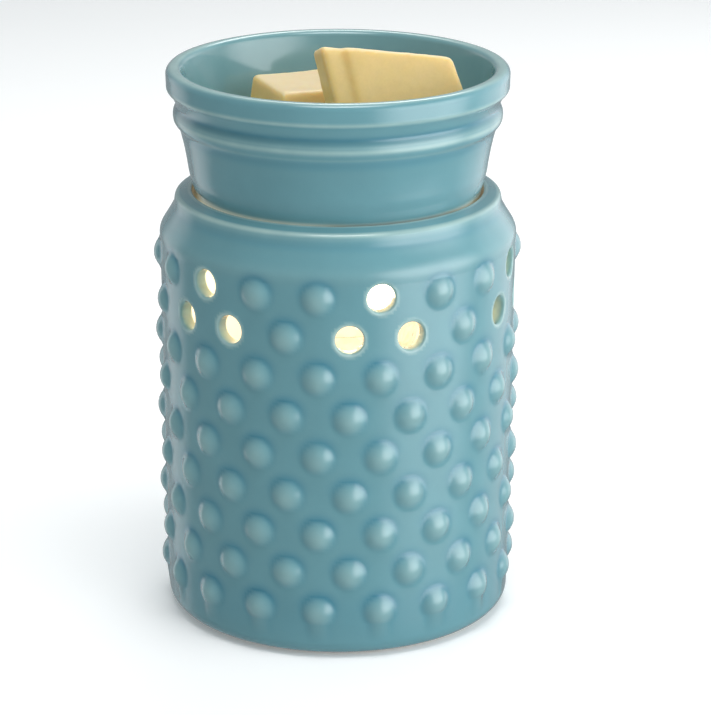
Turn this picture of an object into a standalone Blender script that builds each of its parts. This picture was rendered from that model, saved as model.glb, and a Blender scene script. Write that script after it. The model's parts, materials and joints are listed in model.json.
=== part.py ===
"""Lamp-heated scented wax warmer.

A studded ceramic body holds a lift-out ceramic dish above a twist-lock reflector lamp. The lamp stands
on a steel carrier plate. Three screws clamp the plate to the body's floor ring from below, through a
vented base cover on four rubber feet. Metres, +Z up, the axis of the body on the world's Z axis, the
resting plane at z = 0, the front towards -Y and the cord inlet at the back.
"""

import math

import bmesh
import bpy
from mathutils import Matrix, Vector

# ---- clearances and mesh fineness
GAP = 0.0003
SLIP = 0.0004
TURN_STEPS = 32
SMALL_STEPS = 16
SMOOTH_ANGLE = math.radians(35)

# ---- ceramic body
BODY_TOP = 0.1302
BODY_RADIUS = 0.0528
WALL_TAPER = 0.0011
WALL = 0.0045
SHOULDER_STEP = 0.0046
SHOULDER_DROP = 0.0122
NECK_LIP_WIDTH = 0.0052
NECK_LIP_FALL = 0.0014
LEDGE_DEPTH = 0.0035
LEDGE_WIDTH = 0.0045
LEDGE_THICKNESS = 0.0040
FOOT_LIFT = 0.0006
FOOT_ROUNDING = 0.0100
FOOT_RING_WIDTH = 0.0035
RECESS_DEPTH = 0.0036
FLOOR_THICKNESS = 0.0040
FLOOR_RING_WIDTH = 0.0084

# ---- studs and light holes
STUD_COLUMNS = 18
STUD_PITCH = 0.01197
STUD_TOP_DROP = 0.0194
STUD_RADIUS = 0.0045
STUD_CROWN_RADIUS = 0.0023
STUD_HEIGHT = 0.0019
STUD_ROOT = 0.0010
HOLE_RADIUS = 0.0042
HOLE_GROUPS = 6

# ---- cord inlet
INLET_HEIGHT = 0.0180
INLET_BORE = 0.0034
GROMMET_WALL = 0.0013
GROMMET_FLANGE = 0.0015
GROMMET_LIP = 0.0017

# ---- dish
DISH_RISE = 0.0361
DISH_LIP_OVERHANG = 0.0079
DISH_LIP_BAND = 0.0059
DISH_GROOVE_DROP = 0.0107
DISH_BEAD_DROP = 0.0159
DISH_CONE_DROP = 0.0183
DISH_FLARE = 0.205
DISH_LIP_WIDTH = 0.0044
DISH_SPIGOT_LENGTH = 0.0055
DISH_BOWL_DEPTH = 0.0283
DISH_FLOOR_THICKNESS = 0.0040
DISH_SKIRT = 0.0045
DISH_WALL = 0.0040
BOWL_ROUNDING = 0.0070

# ---- wax melt standing on its large end
MELT_LEFT_PLACE = (-0.0045, 0.0167)
MELT_LEFT_TURN = math.radians(8)
MELT_LEFT_LIFT = 0.0012
MELT_LEFT_BASE = 0.0308
MELT_LEFT_TOP = 0.0274
MELT_LEFT_HEIGHT = 0.0191
MELT_ROUNDING = 0.0016

# ---- wax melt leaning back on its side, its large end to the left; sizes go by end, left then right
MELT_RIGHT_CORNER = (-0.0023, -0.0151)
MELT_RIGHT_RISE = 0.0374
MELT_RIGHT_TURN = math.radians(-1.1)
MELT_RIGHT_FALL = math.radians(8)
MELT_RIGHT_LEAN = math.radians(18)
MELT_RIGHT_SLANTS = (math.radians(10), math.radians(15))
MELT_RIGHT_LENGTH = 0.0326
MELT_RIGHT_HEIGHTS = (0.0340, 0.0210)
MELT_RIGHT_DEPTHS = (0.0155, 0.0130)

# ---- thin web on the leaning melt's large end, where it was snapped from its neighbour
WEB_LENGTH = 0.0064
WEB_OVERLAP = 0.0030
WEB_INSET = 0.0010
WEB_FALL = 0.0004

# ---- base cover, feet and clamping screws
COVER_CLEARANCE = 0.0006
COVER_THICKNESS = 0.0015
COVER_VENTS = 8
VENT_WIDTH = 0.0026
VENT_INNER = 0.0070
VENT_OUTER = 0.0180
FOOT_RADIUS = 0.0045
FOOT_STEM_RADIUS = 0.0019
FOOT_INSET = 0.0056
SCREW_RADIUS = 0.0015
SCREW_HEAD_RADIUS = 0.0028
SCREW_HEAD_HEIGHT = 0.0015
BASE_SCREW_INSET = 0.0050
NUT_RADIUS = 0.0032
NUT_HEIGHT = 0.0024
SCREW_TAIL = 0.0012

# ---- carrier plate, gasket and bracket
GASKET_THICKNESS = 0.0010
CARRIER_OVERLAP = 0.0060
CARRIER_THICKNESS = 0.0012
CARRIER_VENT_RADIUS = 0.0035
CARRIER_VENT_PLACE = 0.0110
BRACKET_WIDTH = 0.0160
BRACKET_SHEET = 0.0010
BRACKET_HEIGHT = 0.0190
BRACKET_FOOT = 0.0105

# ---- lamp holder
HOLDER_LENGTH = 0.0340
HOLDER_WIDTH = 0.0220
HOLDER_HEIGHT = 0.0150
HOLDER_SCREW_PLACE = 0.0125
PIN_PLACE = 0.0050
PIN_RADIUS = 0.0014
PIN_HEAD_RADIUS = 0.0022
PIN_HEAD_HEIGHT = 0.0022
PIN_LENGTH = 0.0062
LAMP_TWIST = math.radians(20)
CONTACT_SIZE = (0.0040, 0.0030, 0.0006)

# ---- lamp
LAMP_DIAMETER = 0.0500
LAMP_BASE_RADIUS = 0.0095
LAMP_BASE_HEIGHT = 0.0130
LAMP_REFLECTOR_HEIGHT = 0.0350
REFLECTOR_WALL = 0.0012
LENS_THICKNESS = 0.0020
CAPSULE_RADIUS = 0.0052
CAPSULE_HEIGHT = 0.0190

# ---- terminal block and leads
BLOCK_SIZE = (0.0200, 0.0160, 0.0120)
BLOCK_INSET = 0.0058
TERMINAL_PLACE = 0.0050
SLEEVE_RADIUS = 0.0022
SLEEVE_LENGTH = 0.0130
SLEEVE_BORE = 0.0013
TERMINAL_SCREW_RADIUS = 0.0010
TERMINAL_SCREW_PITCH = 0.0070
LEAD_RADIUS = 0.0011

# ---- worked out: body
LIP_OUTER = BODY_RADIUS - SHOULDER_STEP
NECK_BORE = LIP_OUTER - NECK_LIP_WIDTH
LEDGE_TOP = BODY_TOP - LEDGE_DEPTH
LEDGE_BORE = NECK_BORE - LEDGE_WIDTH
SHOULDER_BASE = BODY_TOP - SHOULDER_DROP
FOOT_OUTER = BODY_RADIUS - WALL_TAPER - FOOT_ROUNDING
RECESS_RADIUS = FOOT_OUTER - FOOT_RING_WIDTH
FLOOR_BOTTOM = FOOT_LIFT + RECESS_DEPTH
FLOOR_TOP = FLOOR_BOTTOM + FLOOR_THICKNESS
FLOOR_OPENING = RECESS_RADIUS - FLOOR_RING_WIDTH

# ---- worked out: dish
DISH_TOP = BODY_TOP + DISH_RISE
DISH_NECK = NECK_BORE - SLIP
DISH_STEP = LEDGE_TOP + GAP
DISH_SPIGOT = LEDGE_BORE - 2 * GAP
DISH_BOTTOM = DISH_STEP - DISH_SPIGOT_LENGTH
BOWL_FLOOR = DISH_TOP - DISH_BOWL_DEPTH
DISH_UNDERSIDE = BOWL_FLOOR - DISH_FLOOR_THICKNESS
DISH_LIP_OUTER = DISH_NECK + DISH_LIP_OVERHANG

# ---- worked out: stack on the body's floor ring
COVER_TOP = FLOOR_BOTTOM - GAP
COVER_BOTTOM = COVER_TOP - COVER_THICKNESS
COVER_RADIUS = RECESS_RADIUS - COVER_CLEARANCE
GASKET_BOTTOM = FLOOR_TOP + GAP
CARRIER_BOTTOM = GASKET_BOTTOM + GASKET_THICKNESS + GAP
CARRIER_TOP = CARRIER_BOTTOM + CARRIER_THICKNESS
CARRIER_RADIUS = FLOOR_OPENING + CARRIER_OVERLAP
BASE_SCREW_CIRCLE = FLOOR_OPENING - BASE_SCREW_INSET
SCREW_HOLE = SCREW_RADIUS + GAP
ON_CARRIER = CARRIER_TOP + GAP
BRACKET_END = FLOOR_OPENING
BRACKET_LEG = BRACKET_END - BRACKET_FOOT
BRACKET_TOP = ON_CARRIER + BRACKET_HEIGHT
BRACKET_SCREW_PLACE = BRACKET_END - 0.5 * (BRACKET_FOOT - BRACKET_SHEET)
HOLDER_BOTTOM = BRACKET_TOP + GAP
HOLDER_TOP = HOLDER_BOTTOM + HOLDER_HEIGHT
LAMP_BOTTOM = HOLDER_TOP + GAP
LAMP_NECK = LAMP_BOTTOM + LAMP_BASE_HEIGHT
REFLECTOR_BOTTOM = LAMP_NECK + GAP
REFLECTOR_TOP = REFLECTOR_BOTTOM + LAMP_REFLECTOR_HEIGHT
BLOCK_CENTRE = FLOOR_OPENING - BLOCK_INSET
BLOCK_MIDDLE = ON_CARRIER + 0.5 * BLOCK_SIZE[2]
BLOCK_TOP = ON_CARRIER + BLOCK_SIZE[2]

parts = None
cutters = None
finishes = {}


# ------------------------------------------------------------------ scene and materials

def clear_scene():
    """Remove everything that a new file starts with, and make the two collections."""
    global parts, cutters
    for thing in list(bpy.data.objects):
        bpy.data.objects.remove(thing, do_unlink=True)
    parts = bpy.data.collections.new("wax_warmer")
    cutters = bpy.data.collections.new("wax_warmer_cutters")
    for collection in (parts, cutters):
        bpy.context.scene.collection.children.link(collection)


def finish(name, colour, roughness, metallic=0.0):
    """Return the named Principled material, made once."""
    if name not in finishes:
        material = bpy.data.materials.new(name)
        material.use_nodes = True
        shader = material.node_tree.nodes["Principled BSDF"]
        shader.inputs["Base Color"].default_value = (*colour, 1.0)
        shader.inputs["Roughness"].default_value = roughness
        shader.inputs["Metallic"].default_value = metallic
        material.diffuse_color = (*colour, 1.0)
        finishes[name] = material
    return finishes[name]


def glaze():
    return finish("teal_glaze", (0.13, 0.33, 0.39), 0.12)


def wax():
    return finish("scented_wax", (0.82, 0.66, 0.34), 0.45)


def rubber():
    return finish("black_rubber", (0.03, 0.03, 0.03), 0.75)


def dark_plastic():
    return finish("black_cover", (0.04, 0.04, 0.04), 0.5)


def steel():
    return finish("plated_steel", (0.62, 0.62, 0.60), 0.35, 1.0)


def brass():
    return finish("brass", (0.72, 0.52, 0.22), 0.3, 1.0)


def porcelain():
    return finish("porcelain", (0.85, 0.83, 0.78), 0.35)


def reflector_coat():
    return finish("reflector_coat", (0.80, 0.80, 0.82), 0.1, 1.0)


def clear_glass():
    return finish("lamp_glass", (0.90, 0.90, 0.88), 0.08)


def sleeving():
    return finish("lead_sleeving", (0.80, 0.78, 0.70), 0.7)


# ------------------------------------------------------------------ shape helpers

def place(name, mesh, material, collection=None):
    """Make an object of the mesh, in the parts unless another collection is given."""
    piece = bpy.data.objects.new(name, mesh)
    (collection or parts).objects.link(piece)
    if material:
        mesh.materials.append(material)
    if collection is cutters:
        piece.hide_render = True
        piece.display_type = "WIRE"
    return piece


def from_bmesh(name, shape, material=None, collection=None):
    """Turn a bmesh into an object, with smooth faces and sharp corners."""
    mesh = bpy.data.meshes.new(name)
    bmesh.ops.recalc_face_normals(shape, faces=shape.faces)
    shape.to_mesh(mesh)
    shape.free()
    mesh.shade_smooth()
    mesh.set_sharp_from_angle(angle=SMOOTH_ANGLE)
    return place(name, mesh, material, collection)


def rounded(corners):
    """Replace the corners (r, z, rounding, steps) of an outline by arcs; rounding 0 stays sharp."""
    outline = []
    count = len(corners)
    for index, (r, z, rounding, steps) in enumerate(corners):
        here = Vector((r, z))
        if rounding <= 0:
            outline.append(here)
            continue
        before = Vector(corners[index - 1][:2]) - here
        after = Vector(corners[(index + 1) % count][:2]) - here
        half = before.angle(after) / 2
        reach = min(rounding / math.tan(half), 0.48 * before.length, 0.48 * after.length)
        radius = reach * math.tan(half)
        inward = (before.normalized() + after.normalized()).normalized()
        centre = here + inward * (radius / math.sin(half))
        start = here + before.normalized() * reach - centre
        end = here + after.normalized() * reach - centre
        sweep = start.angle_signed(end)
        for step in range(steps + 1):
            spin = Matrix.Rotation(-sweep * step / steps, 2)
            outline.append(centre + spin @ start)
    return outline


def turned(name, outline, material, steps=TURN_STEPS, closed=False, collection=None):
    """Turn an outline of (r, z) points about Z. It runs down its outer side, so faces point out."""
    mesh = bpy.data.meshes.new(name)
    points = [(r, 0.0, z) for r, z in outline]
    edges = [(i, i + 1) for i in range(len(points) - 1)]
    if closed:
        edges.append((len(points) - 1, 0))
    mesh.from_pydata(points, edges, [])
    piece = place(name, mesh, material, collection)
    screw = piece.modifiers.new("turn", "SCREW")
    screw.angle = math.tau
    screw.steps = steps
    screw.render_steps = steps
    screw.use_merge_vertices = True
    screw.merge_threshold = 0.00001
    screw.use_smooth_shade = True
    return piece


def disc_outline(radius, low, high, bore=0.0):
    """The outline of a disc, or of a washer when it has a bore, and whether it is a closed loop."""
    if bore > 0:
        return [(bore, high), (radius, high), (radius, low), (bore, low)]
    return [(0.0, high), (radius, high), (radius, low), (0.0, low)]


def disc(name, radius, low, high, material, bore=0.0, steps=SMALL_STEPS, collection=None):
    outline = disc_outline(radius, low, high, bore)
    return turned(name, outline, material, steps, bore > 0, collection)


def plate(name, radius, low, high, material, steps=TURN_STEPS):
    """A round plate with whole faces above and below, for pieces that get many holes."""
    shape = bmesh.new()
    bmesh.ops.create_cone(
        shape, cap_ends=True, segments=steps, radius1=radius, radius2=radius, depth=high - low,
        matrix=Matrix.Translation((0.0, 0.0, 0.5 * (low + high))),
    )
    return from_bmesh(name, shape, material)


def shift(piece, x, y):
    """Move a turned piece in plan."""
    piece.location = (x, y, 0.0)
    return piece


def cut(piece, cutter):
    """Take the cutter's shape out of the piece."""
    tool = piece.modifiers.new(cutter.name, "BOOLEAN")
    tool.operation = "DIFFERENCE"
    tool.solver = "EXACT"
    tool.object = cutter


def fuse(piece, other):
    """Add the other shape to the piece."""
    tool = piece.modifiers.new(other.name, "BOOLEAN")
    tool.operation = "UNION"
    tool.solver = "EXACT"
    tool.object = other


def rods(name, places, radius, low, high, steps=SMALL_STEPS):
    """One cutter of upright rods at the places in plan."""
    shape = bmesh.new()
    for x, y in places:
        at = Matrix.Translation((x, y, 0.5 * (low + high)))
        bmesh.ops.create_cone(
            shape, cap_ends=True, segments=steps, radius1=radius, radius2=radius,
            depth=high - low, matrix=at,
        )
    return from_bmesh(name, shape, collection=cutters)


def block(name, size, centre, material=None, rounding=0.0, collection=None):
    """A box with its edges rounded by two-segment bevels."""
    shape = bmesh.new()
    at = Matrix.Translation(centre) @ Matrix.Diagonal((*size, 1.0))
    bmesh.ops.create_cube(shape, size=1.0, matrix=at)
    if rounding > 0:
        bmesh.ops.bevel(
            shape, geom=list(shape.edges), offset=rounding, segments=2, profile=0.5,
            affect="EDGES", material=-1,
        )
    return from_bmesh(name, shape, material, collection)


def around(count, radius, start=0.0):
    """Places evenly round the axis; angle 0 is the front, -Y, and it grows towards +X."""
    angles = [start + math.tau * i / count for i in range(count)]
    return [(radius * math.sin(a), -radius * math.cos(a)) for a in angles]


def screw(name, x, y, head_face, tip, material, head_up=True):
    """A pan-head screw: its head stands on head_face and its shank ends at tip."""
    sign = 1 if head_up else -1
    crown = head_face + sign * SCREW_HEAD_HEIGHT
    edge = head_face + sign * 0.5 * SCREW_HEAD_HEIGHT
    outline = [
        (0.0, crown), (0.7 * SCREW_HEAD_RADIUS, crown), (SCREW_HEAD_RADIUS, edge),
        (SCREW_HEAD_RADIUS, head_face), (SCREW_RADIUS, head_face), (SCREW_RADIUS, tip), (0.0, tip),
    ]
    if not head_up:
        outline.reverse()
    return shift(turned(name, outline, material, 12), x, y)


# ------------------------------------------------------------------ ceramic body

def wall_radius(z):
    """The outside of the body's wall, below the shoulder."""
    share = (z - FOOT_LIFT) / (SHOULDER_BASE - FOOT_LIFT)
    return BODY_RADIUS - WALL_TAPER * (1 - share)


def radial(azimuth, z, radius):
    """A frame at a point of the wall whose local Z looks outwards."""
    out = Vector((math.sin(azimuth), -math.cos(azimuth), 0.0))
    turn = out.to_track_quat("Z", "Y").to_matrix().to_4x4()
    return Matrix.Translation(out * radius + Vector((0, 0, z))) @ turn


def stud_rows():
    """Height of each row of studs, from the top row down to the last one above the foot."""
    first = BODY_TOP - STUD_TOP_DROP
    lowest = FOOT_LIFT + 0.5 * FOOT_ROUNDING + STUD_RADIUS
    rows = int((first - lowest) / STUD_PITCH) + 1
    return [first - row * STUD_PITCH for row in range(rows)]


def hole_places():
    """(row, half-pitch step) of the light holes: one in the top row, two below it, in each group."""
    steps = 2 * STUD_COLUMNS
    places = set()
    for group in range(HOLE_GROUPS):
        middle = group * steps // HOLE_GROUPS
        places |= {(0, middle), (1, (middle - 1) % steps), (1, (middle + 1) % steps)}
    return places


def stud_places():
    """(row, half-pitch step, height) of each stud that no hole and no cord inlet replaces."""
    holes = hole_places()
    clear = GROMMET_LIP + INLET_BORE + GROMMET_WALL + STUD_RADIUS
    half = math.pi / STUD_COLUMNS
    places = []
    for row, z in enumerate(stud_rows()):
        for column in range(STUD_COLUMNS):
            step = 2 * column + row % 2
            aside = wall_radius(z) * abs(math.pi - step * half)
            at_inlet = math.hypot(aside, z - INLET_HEIGHT) < clear
            if (row, step) not in holes and not at_inlet:
                places.append((row, step, z))
    return places


def studs():
    """All studs as one helper shape: six-sided caps with their roots in the wall."""
    shape = bmesh.new()
    half = math.pi / STUD_COLUMNS
    for _, step, z in stud_places():
        middle = wall_radius(z) + 0.5 * (STUD_HEIGHT - STUD_ROOT)
        bmesh.ops.create_cone(
            shape, cap_ends=True, segments=6, radius1=STUD_RADIUS, radius2=STUD_CROWN_RADIUS,
            depth=STUD_HEIGHT + STUD_ROOT, matrix=radial(step * half, z, middle),
        )
    return from_bmesh("studs_tool", shape, collection=cutters)


def light_holes():
    """The eighteen pierced holes as one cutter."""
    shape = bmesh.new()
    heights = stud_rows()
    half = math.pi / STUD_COLUMNS
    for row, step in sorted(hole_places()):
        z = heights[row]
        bmesh.ops.create_cone(
            shape, cap_ends=True, segments=12, radius1=HOLE_RADIUS, radius2=HOLE_RADIUS,
            depth=4 * WALL, matrix=radial(step * half, z, wall_radius(z) - 0.5 * WALL),
        )
    return from_bmesh("holes_tool", shape, collection=cutters)


def ceramic_body():
    inner_foot = BODY_RADIUS - WALL_TAPER - WALL
    inner_top = BODY_RADIUS - WALL
    outline = rounded([
        (NECK_BORE, BODY_TOP, 0.0010, 1),
        (LIP_OUTER, BODY_TOP - NECK_LIP_FALL, 0.0016, 2),
        (LIP_OUTER + 0.0007, BODY_TOP - 0.4 * SHOULDER_DROP, 0.0040, 1),
        (BODY_RADIUS, SHOULDER_BASE, 0.0070, 2),
        (wall_radius(FOOT_LIFT), FOOT_LIFT, FOOT_ROUNDING, 4),
        (RECESS_RADIUS, FOOT_LIFT, 0.0, 1),
        (RECESS_RADIUS, FLOOR_BOTTOM, 0.0, 1),
        (FLOOR_OPENING, FLOOR_BOTTOM, 0.0, 1),
        (FLOOR_OPENING, FLOOR_TOP, 0.0, 1),
        (inner_foot, FLOOR_TOP, 0.0030, 1),
        (inner_top, SHOULDER_BASE - 0.6 * WALL, 0.0050, 2),
        (LEDGE_BORE + LEDGE_WIDTH + 0.0010, LEDGE_TOP - LEDGE_THICKNESS, 0.0020, 1),
        (LEDGE_BORE, LEDGE_TOP - LEDGE_THICKNESS, 0.0, 1),
        (LEDGE_BORE, LEDGE_TOP, 0.0, 1),
        (NECK_BORE, LEDGE_TOP, 0.0, 1),
    ])
    body = turned("ceramic_body", outline, glaze(), closed=True)
    fuse(body, studs())
    cut(body, light_holes())
    inlet = bmesh.new()
    radius = INLET_BORE + GROMMET_WALL + GAP
    bmesh.ops.create_cone(
        inlet, cap_ends=True, segments=20, radius1=radius, radius2=radius, depth=6 * WALL,
        matrix=radial(math.pi, INLET_HEIGHT, wall_radius(INLET_HEIGHT) - 0.5 * WALL),
    )
    cut(body, from_bmesh("inlet_tool", inlet, collection=cutters))


def cord_grommet():
    """A rubber bush through the rear wall; its flanges stand clear of the curved wall."""
    outside = wall_radius(INLET_HEIGHT)
    lip = INLET_BORE + GROMMET_WALL + GROMMET_LIP
    neck = INLET_BORE + GROMMET_WALL
    inner_flat = (outside - WALL) * math.cos(math.pi / TURN_STEPS)
    front = math.sqrt(inner_flat ** 2 - lip ** 2) - GAP
    back = outside + 2 * GAP
    outline = rounded([
        (INLET_BORE, back + GROMMET_FLANGE, 0.0004, 1),
        (lip, back + GROMMET_FLANGE, 0.0006, 2),
        (lip, back, 0.0, 1),
        (neck, back, 0.0, 1),
        (neck, front, 0.0, 1),
        (lip, front, 0.0, 1),
        (lip, front - GROMMET_FLANGE, 0.0006, 2),
        (INLET_BORE, front - GROMMET_FLANGE, 0.0004, 1),
    ])
    bush = turned("cord_grommet", outline, rubber(), SMALL_STEPS, closed=True)
    bush.rotation_euler = (-math.pi / 2, 0.0, 0.0)
    bush.location = (0.0, 0.0, INLET_HEIGHT)


# ------------------------------------------------------------------ dish and wax

def bowl_corner():
    """Radius where the bowl's straight wall would meet its floor."""
    inner_top = DISH_LIP_OUTER - DISH_LIP_WIDTH
    at_step = DISH_NECK + DISH_FLARE * (DISH_TOP - DISH_CONE_DROP - BODY_TOP) - DISH_WALL
    slope = (inner_top - at_step) / DISH_CONE_DROP
    return at_step - slope * (DISH_TOP - DISH_CONE_DROP - BOWL_FLOOR)


def wax_dish():
    cone_top = DISH_TOP - DISH_CONE_DROP
    cone_radius = DISH_NECK + DISH_FLARE * (cone_top - BODY_TOP)
    groove = cone_radius + 0.0013
    outline = rounded([
        (0.0, BOWL_FLOOR, 0.0, 1),
        (bowl_corner(), BOWL_FLOOR, BOWL_ROUNDING, 4),
        (DISH_LIP_OUTER - DISH_LIP_WIDTH, DISH_TOP, 0.0021, 3),
        (DISH_LIP_OUTER, DISH_TOP, 0.0021, 3),
        (DISH_LIP_OUTER - 0.0002, DISH_TOP - DISH_LIP_BAND, 0.0012, 1),
        (groove, DISH_TOP - DISH_GROOVE_DROP, 0.0008, 1),
        (groove + 0.0009, DISH_TOP - DISH_GROOVE_DROP - 0.0012, 0.0008, 1),
        (groove + 0.0007, DISH_TOP - DISH_BEAD_DROP, 0.0012, 1),
        (cone_radius, cone_top, 0.0012, 1),
        (DISH_NECK, BODY_TOP, 0.0, 1),
        (DISH_NECK - SLIP, DISH_STEP, 0.0006, 1),
        (DISH_SPIGOT, DISH_STEP, 0.0, 1),
        (DISH_SPIGOT, DISH_BOTTOM, 0.0012, 1),
        (DISH_SPIGOT - DISH_SKIRT, DISH_BOTTOM, 0.0012, 1),
        (DISH_SPIGOT - DISH_SKIRT, DISH_UNDERSIDE, 0.0020, 1),
        (0.0, DISH_UNDERSIDE, 0.0, 1),
    ])
    turned("wax_dish", outline, glaze())


def soften(shape):
    """Round every edge of a melt."""
    bmesh.ops.bevel(
        shape, geom=list(shape.edges), offset=MELT_ROUNDING, segments=2, profile=0.5,
        affect="EDGES", material=-1,
    )


def melt_left():
    """A melt standing on its large end."""
    shape = bmesh.new()
    half_root = math.sqrt(0.5)
    bmesh.ops.create_cone(
        shape, cap_ends=True, segments=4, radius1=MELT_LEFT_BASE * half_root,
        radius2=MELT_LEFT_TOP * half_root, depth=MELT_LEFT_HEIGHT,
        matrix=Matrix.Rotation(math.pi / 4, 4, "Z"),
    )
    soften(shape)
    lift = BOWL_FLOOR + MELT_LEFT_LIFT + 0.5 * MELT_LEFT_HEIGHT
    at = Matrix.Translation((*MELT_LEFT_PLACE, lift)) @ Matrix.Rotation(MELT_LEFT_TURN, 4, "Z")
    bmesh.ops.transform(shape, matrix=at, verts=shape.verts)
    from_bmesh("wax_melt_left", shape, wax())


def leaning_block(start, length, lowered, inset):
    """A block along the leaning melt's length: its ends are sized, slanted and leaned back."""
    shape = bmesh.new()
    bmesh.ops.create_cube(shape, size=1.0, matrix=Matrix.Translation((0.5, 0.5, -0.5)))
    for vert in shape.verts:
        along = start + vert.co.x * length
        share = min(max(along / MELT_RIGHT_LENGTH, 0.0), 1.0)
        height, depth, slant = (
            ends[0] + (ends[1] - ends[0]) * share
            for ends in (MELT_RIGHT_HEIGHTS, MELT_RIGHT_DEPTHS, MELT_RIGHT_SLANTS)
        )
        down = -vert.co.z * (height - 2 * lowered)
        back = inset + vert.co.y * (depth - 2 * inset)
        fall = along * math.tan(MELT_RIGHT_FALL) + lowered
        vert.co = (along + down * math.tan(slant), back, -down - fall)
    soften(shape)
    corner = Matrix.Translation((*MELT_RIGHT_CORNER, BOWL_FLOOR + MELT_RIGHT_RISE))
    lean = Matrix.Rotation(MELT_RIGHT_LEAN, 4, "X")
    at = corner @ Matrix.Rotation(MELT_RIGHT_TURN, 4, "Z") @ lean.inverted()
    bmesh.ops.transform(shape, matrix=at, verts=shape.verts)
    return shape


def melt_right():
    """A melt leaning back on its side, with the thin web left by its neighbour."""
    block_shape = leaning_block(0.0, MELT_RIGHT_LENGTH, 0.0, 0.0)
    melt = from_bmesh("wax_melt_right", block_shape, wax())
    web = leaning_block(-WEB_LENGTH, WEB_LENGTH + WEB_OVERLAP, WEB_FALL, WEB_INSET)
    fuse(melt, from_bmesh("melt_web_tool", web, collection=cutters))


# ------------------------------------------------------------------ base, feet and carrier

def base_screw_places():
    return around(3, BASE_SCREW_CIRCLE)


def foot_places():
    return around(4, COVER_RADIUS - FOOT_INSET, math.pi / 4)


def base_cover():
    cover = plate("base_cover", COVER_RADIUS, COVER_BOTTOM, COVER_TOP, dark_plastic())
    low = COVER_BOTTOM - COVER_THICKNESS
    high = COVER_TOP + COVER_THICKNESS
    cut(cover, rods("cover_screw_tool", base_screw_places(), SCREW_HOLE, low, high, 10))
    cut(cover, rods("cover_foot_tool", foot_places(), FOOT_STEM_RADIUS + GAP, low, high, 10))
    slots = bmesh.new()
    middle = 0.5 * (VENT_INNER + VENT_OUTER)
    size = (VENT_WIDTH, VENT_OUTER - VENT_INNER, 4 * COVER_THICKNESS, 1.0)
    for index in range(COVER_VENTS):
        turn = Matrix.Rotation(math.tau * (index + 0.5) / COVER_VENTS, 4, "Z")
        at = turn @ Matrix.Translation((0.0, middle, COVER_BOTTOM)) @ Matrix.Diagonal(size)
        bmesh.ops.create_cube(slots, size=1.0, matrix=at)
    cut(cover, from_bmesh("cover_vent_tool", slots, collection=cutters))


def rubber_feet():
    top = COVER_BOTTOM - GAP
    for number, (x, y) in enumerate(foot_places(), 1):
        outline = [
            (0.0, COVER_TOP), (FOOT_STEM_RADIUS, COVER_TOP), (FOOT_STEM_RADIUS, top),
            (FOOT_RADIUS, top), (FOOT_RADIUS, 0.0004), (FOOT_RADIUS - 0.0004, 0.0), (0.0, 0.0),
        ]
        shift(turned(f"rubber_foot_{number}", outline, rubber(), SMALL_STEPS), x, y)


def base_screws():
    tip = ON_CARRIER + NUT_HEIGHT + SCREW_TAIL
    for number, (x, y) in enumerate(base_screw_places(), 1):
        screw(f"base_screw_{number}", x, y, COVER_BOTTOM - GAP, tip, steel(), head_up=False)
        nut = disc(
            f"base_nut_{number}", NUT_RADIUS, ON_CARRIER, ON_CARRIER + NUT_HEIGHT, steel(),
            bore=SCREW_HOLE, steps=6,
        )
        shift(nut, x, y)


def floor_gasket():
    disc(
        "floor_gasket", CARRIER_RADIUS, GASKET_BOTTOM, GASKET_BOTTOM + GASKET_THICKNESS, rubber(),
        bore=FLOOR_OPENING + 0.0010, steps=TURN_STEPS,
    )


def carrier_plate():
    carrier = plate("carrier_plate", CARRIER_RADIUS, CARRIER_BOTTOM, CARRIER_TOP, steel())
    low = CARRIER_BOTTOM - CARRIER_THICKNESS
    high = CARRIER_TOP + CARRIER_THICKNESS
    fixings = base_screw_places() + [(-BRACKET_SCREW_PLACE, 0.0), (BRACKET_SCREW_PLACE, 0.0)]
    fixings.append((0.0, BLOCK_CENTRE))
    cut(carrier, rods("carrier_screw_tool", fixings, SCREW_HOLE, low, high, 10))
    vents = around(4, CARRIER_VENT_PLACE, math.pi / 4)
    cut(carrier, rods("carrier_vent_tool", vents, CARRIER_VENT_RADIUS, low, high, 12))


def lamp_bracket():
    """A steel strip bent into an arch with two feet; its outline is extruded across its width."""
    low = ON_CARRIER
    top = BRACKET_TOP
    sheet = BRACKET_SHEET
    side = [
        (BRACKET_END, low), (BRACKET_END, low + sheet), (BRACKET_LEG + sheet, low + sheet),
        (BRACKET_LEG, top), (-BRACKET_LEG, top), (-BRACKET_LEG - sheet, low + sheet),
        (-BRACKET_END, low + sheet), (-BRACKET_END, low), (-BRACKET_LEG, low),
        (-BRACKET_LEG + sheet, top - sheet), (BRACKET_LEG - sheet, top - sheet), (BRACKET_LEG, low),
    ]
    shape = bmesh.new()
    face = shape.faces.new([shape.verts.new((x, -0.5 * BRACKET_WIDTH, z)) for x, z in side])
    pushed = bmesh.ops.extrude_face_region(shape, geom=[face])["geom"]
    moved = [item for item in pushed if isinstance(item, bmesh.types.BMVert)]
    bmesh.ops.translate(shape, verts=moved, vec=(0.0, BRACKET_WIDTH, 0.0))
    strip = from_bmesh("lamp_bracket", shape, steel())
    feet = [(-BRACKET_SCREW_PLACE, 0.0), (BRACKET_SCREW_PLACE, 0.0)]
    cut(strip, rods("bracket_foot_tool", feet, SCREW_HOLE, low - sheet, low + 3 * sheet, 12))
    seats = [(-HOLDER_SCREW_PLACE, 0.0), (HOLDER_SCREW_PLACE, 0.0)]
    cut(strip, rods("bracket_seat_tool", seats, SCREW_HOLE, top - 3 * sheet, top + sheet, 12))
    tip = CARRIER_BOTTOM - SCREW_TAIL
    for number, (x, y) in enumerate(feet, 1):
        screw(f"bracket_screw_{number}", x, y, low + sheet + GAP, tip, steel())


# ------------------------------------------------------------------ lamp holder and lamp

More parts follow.
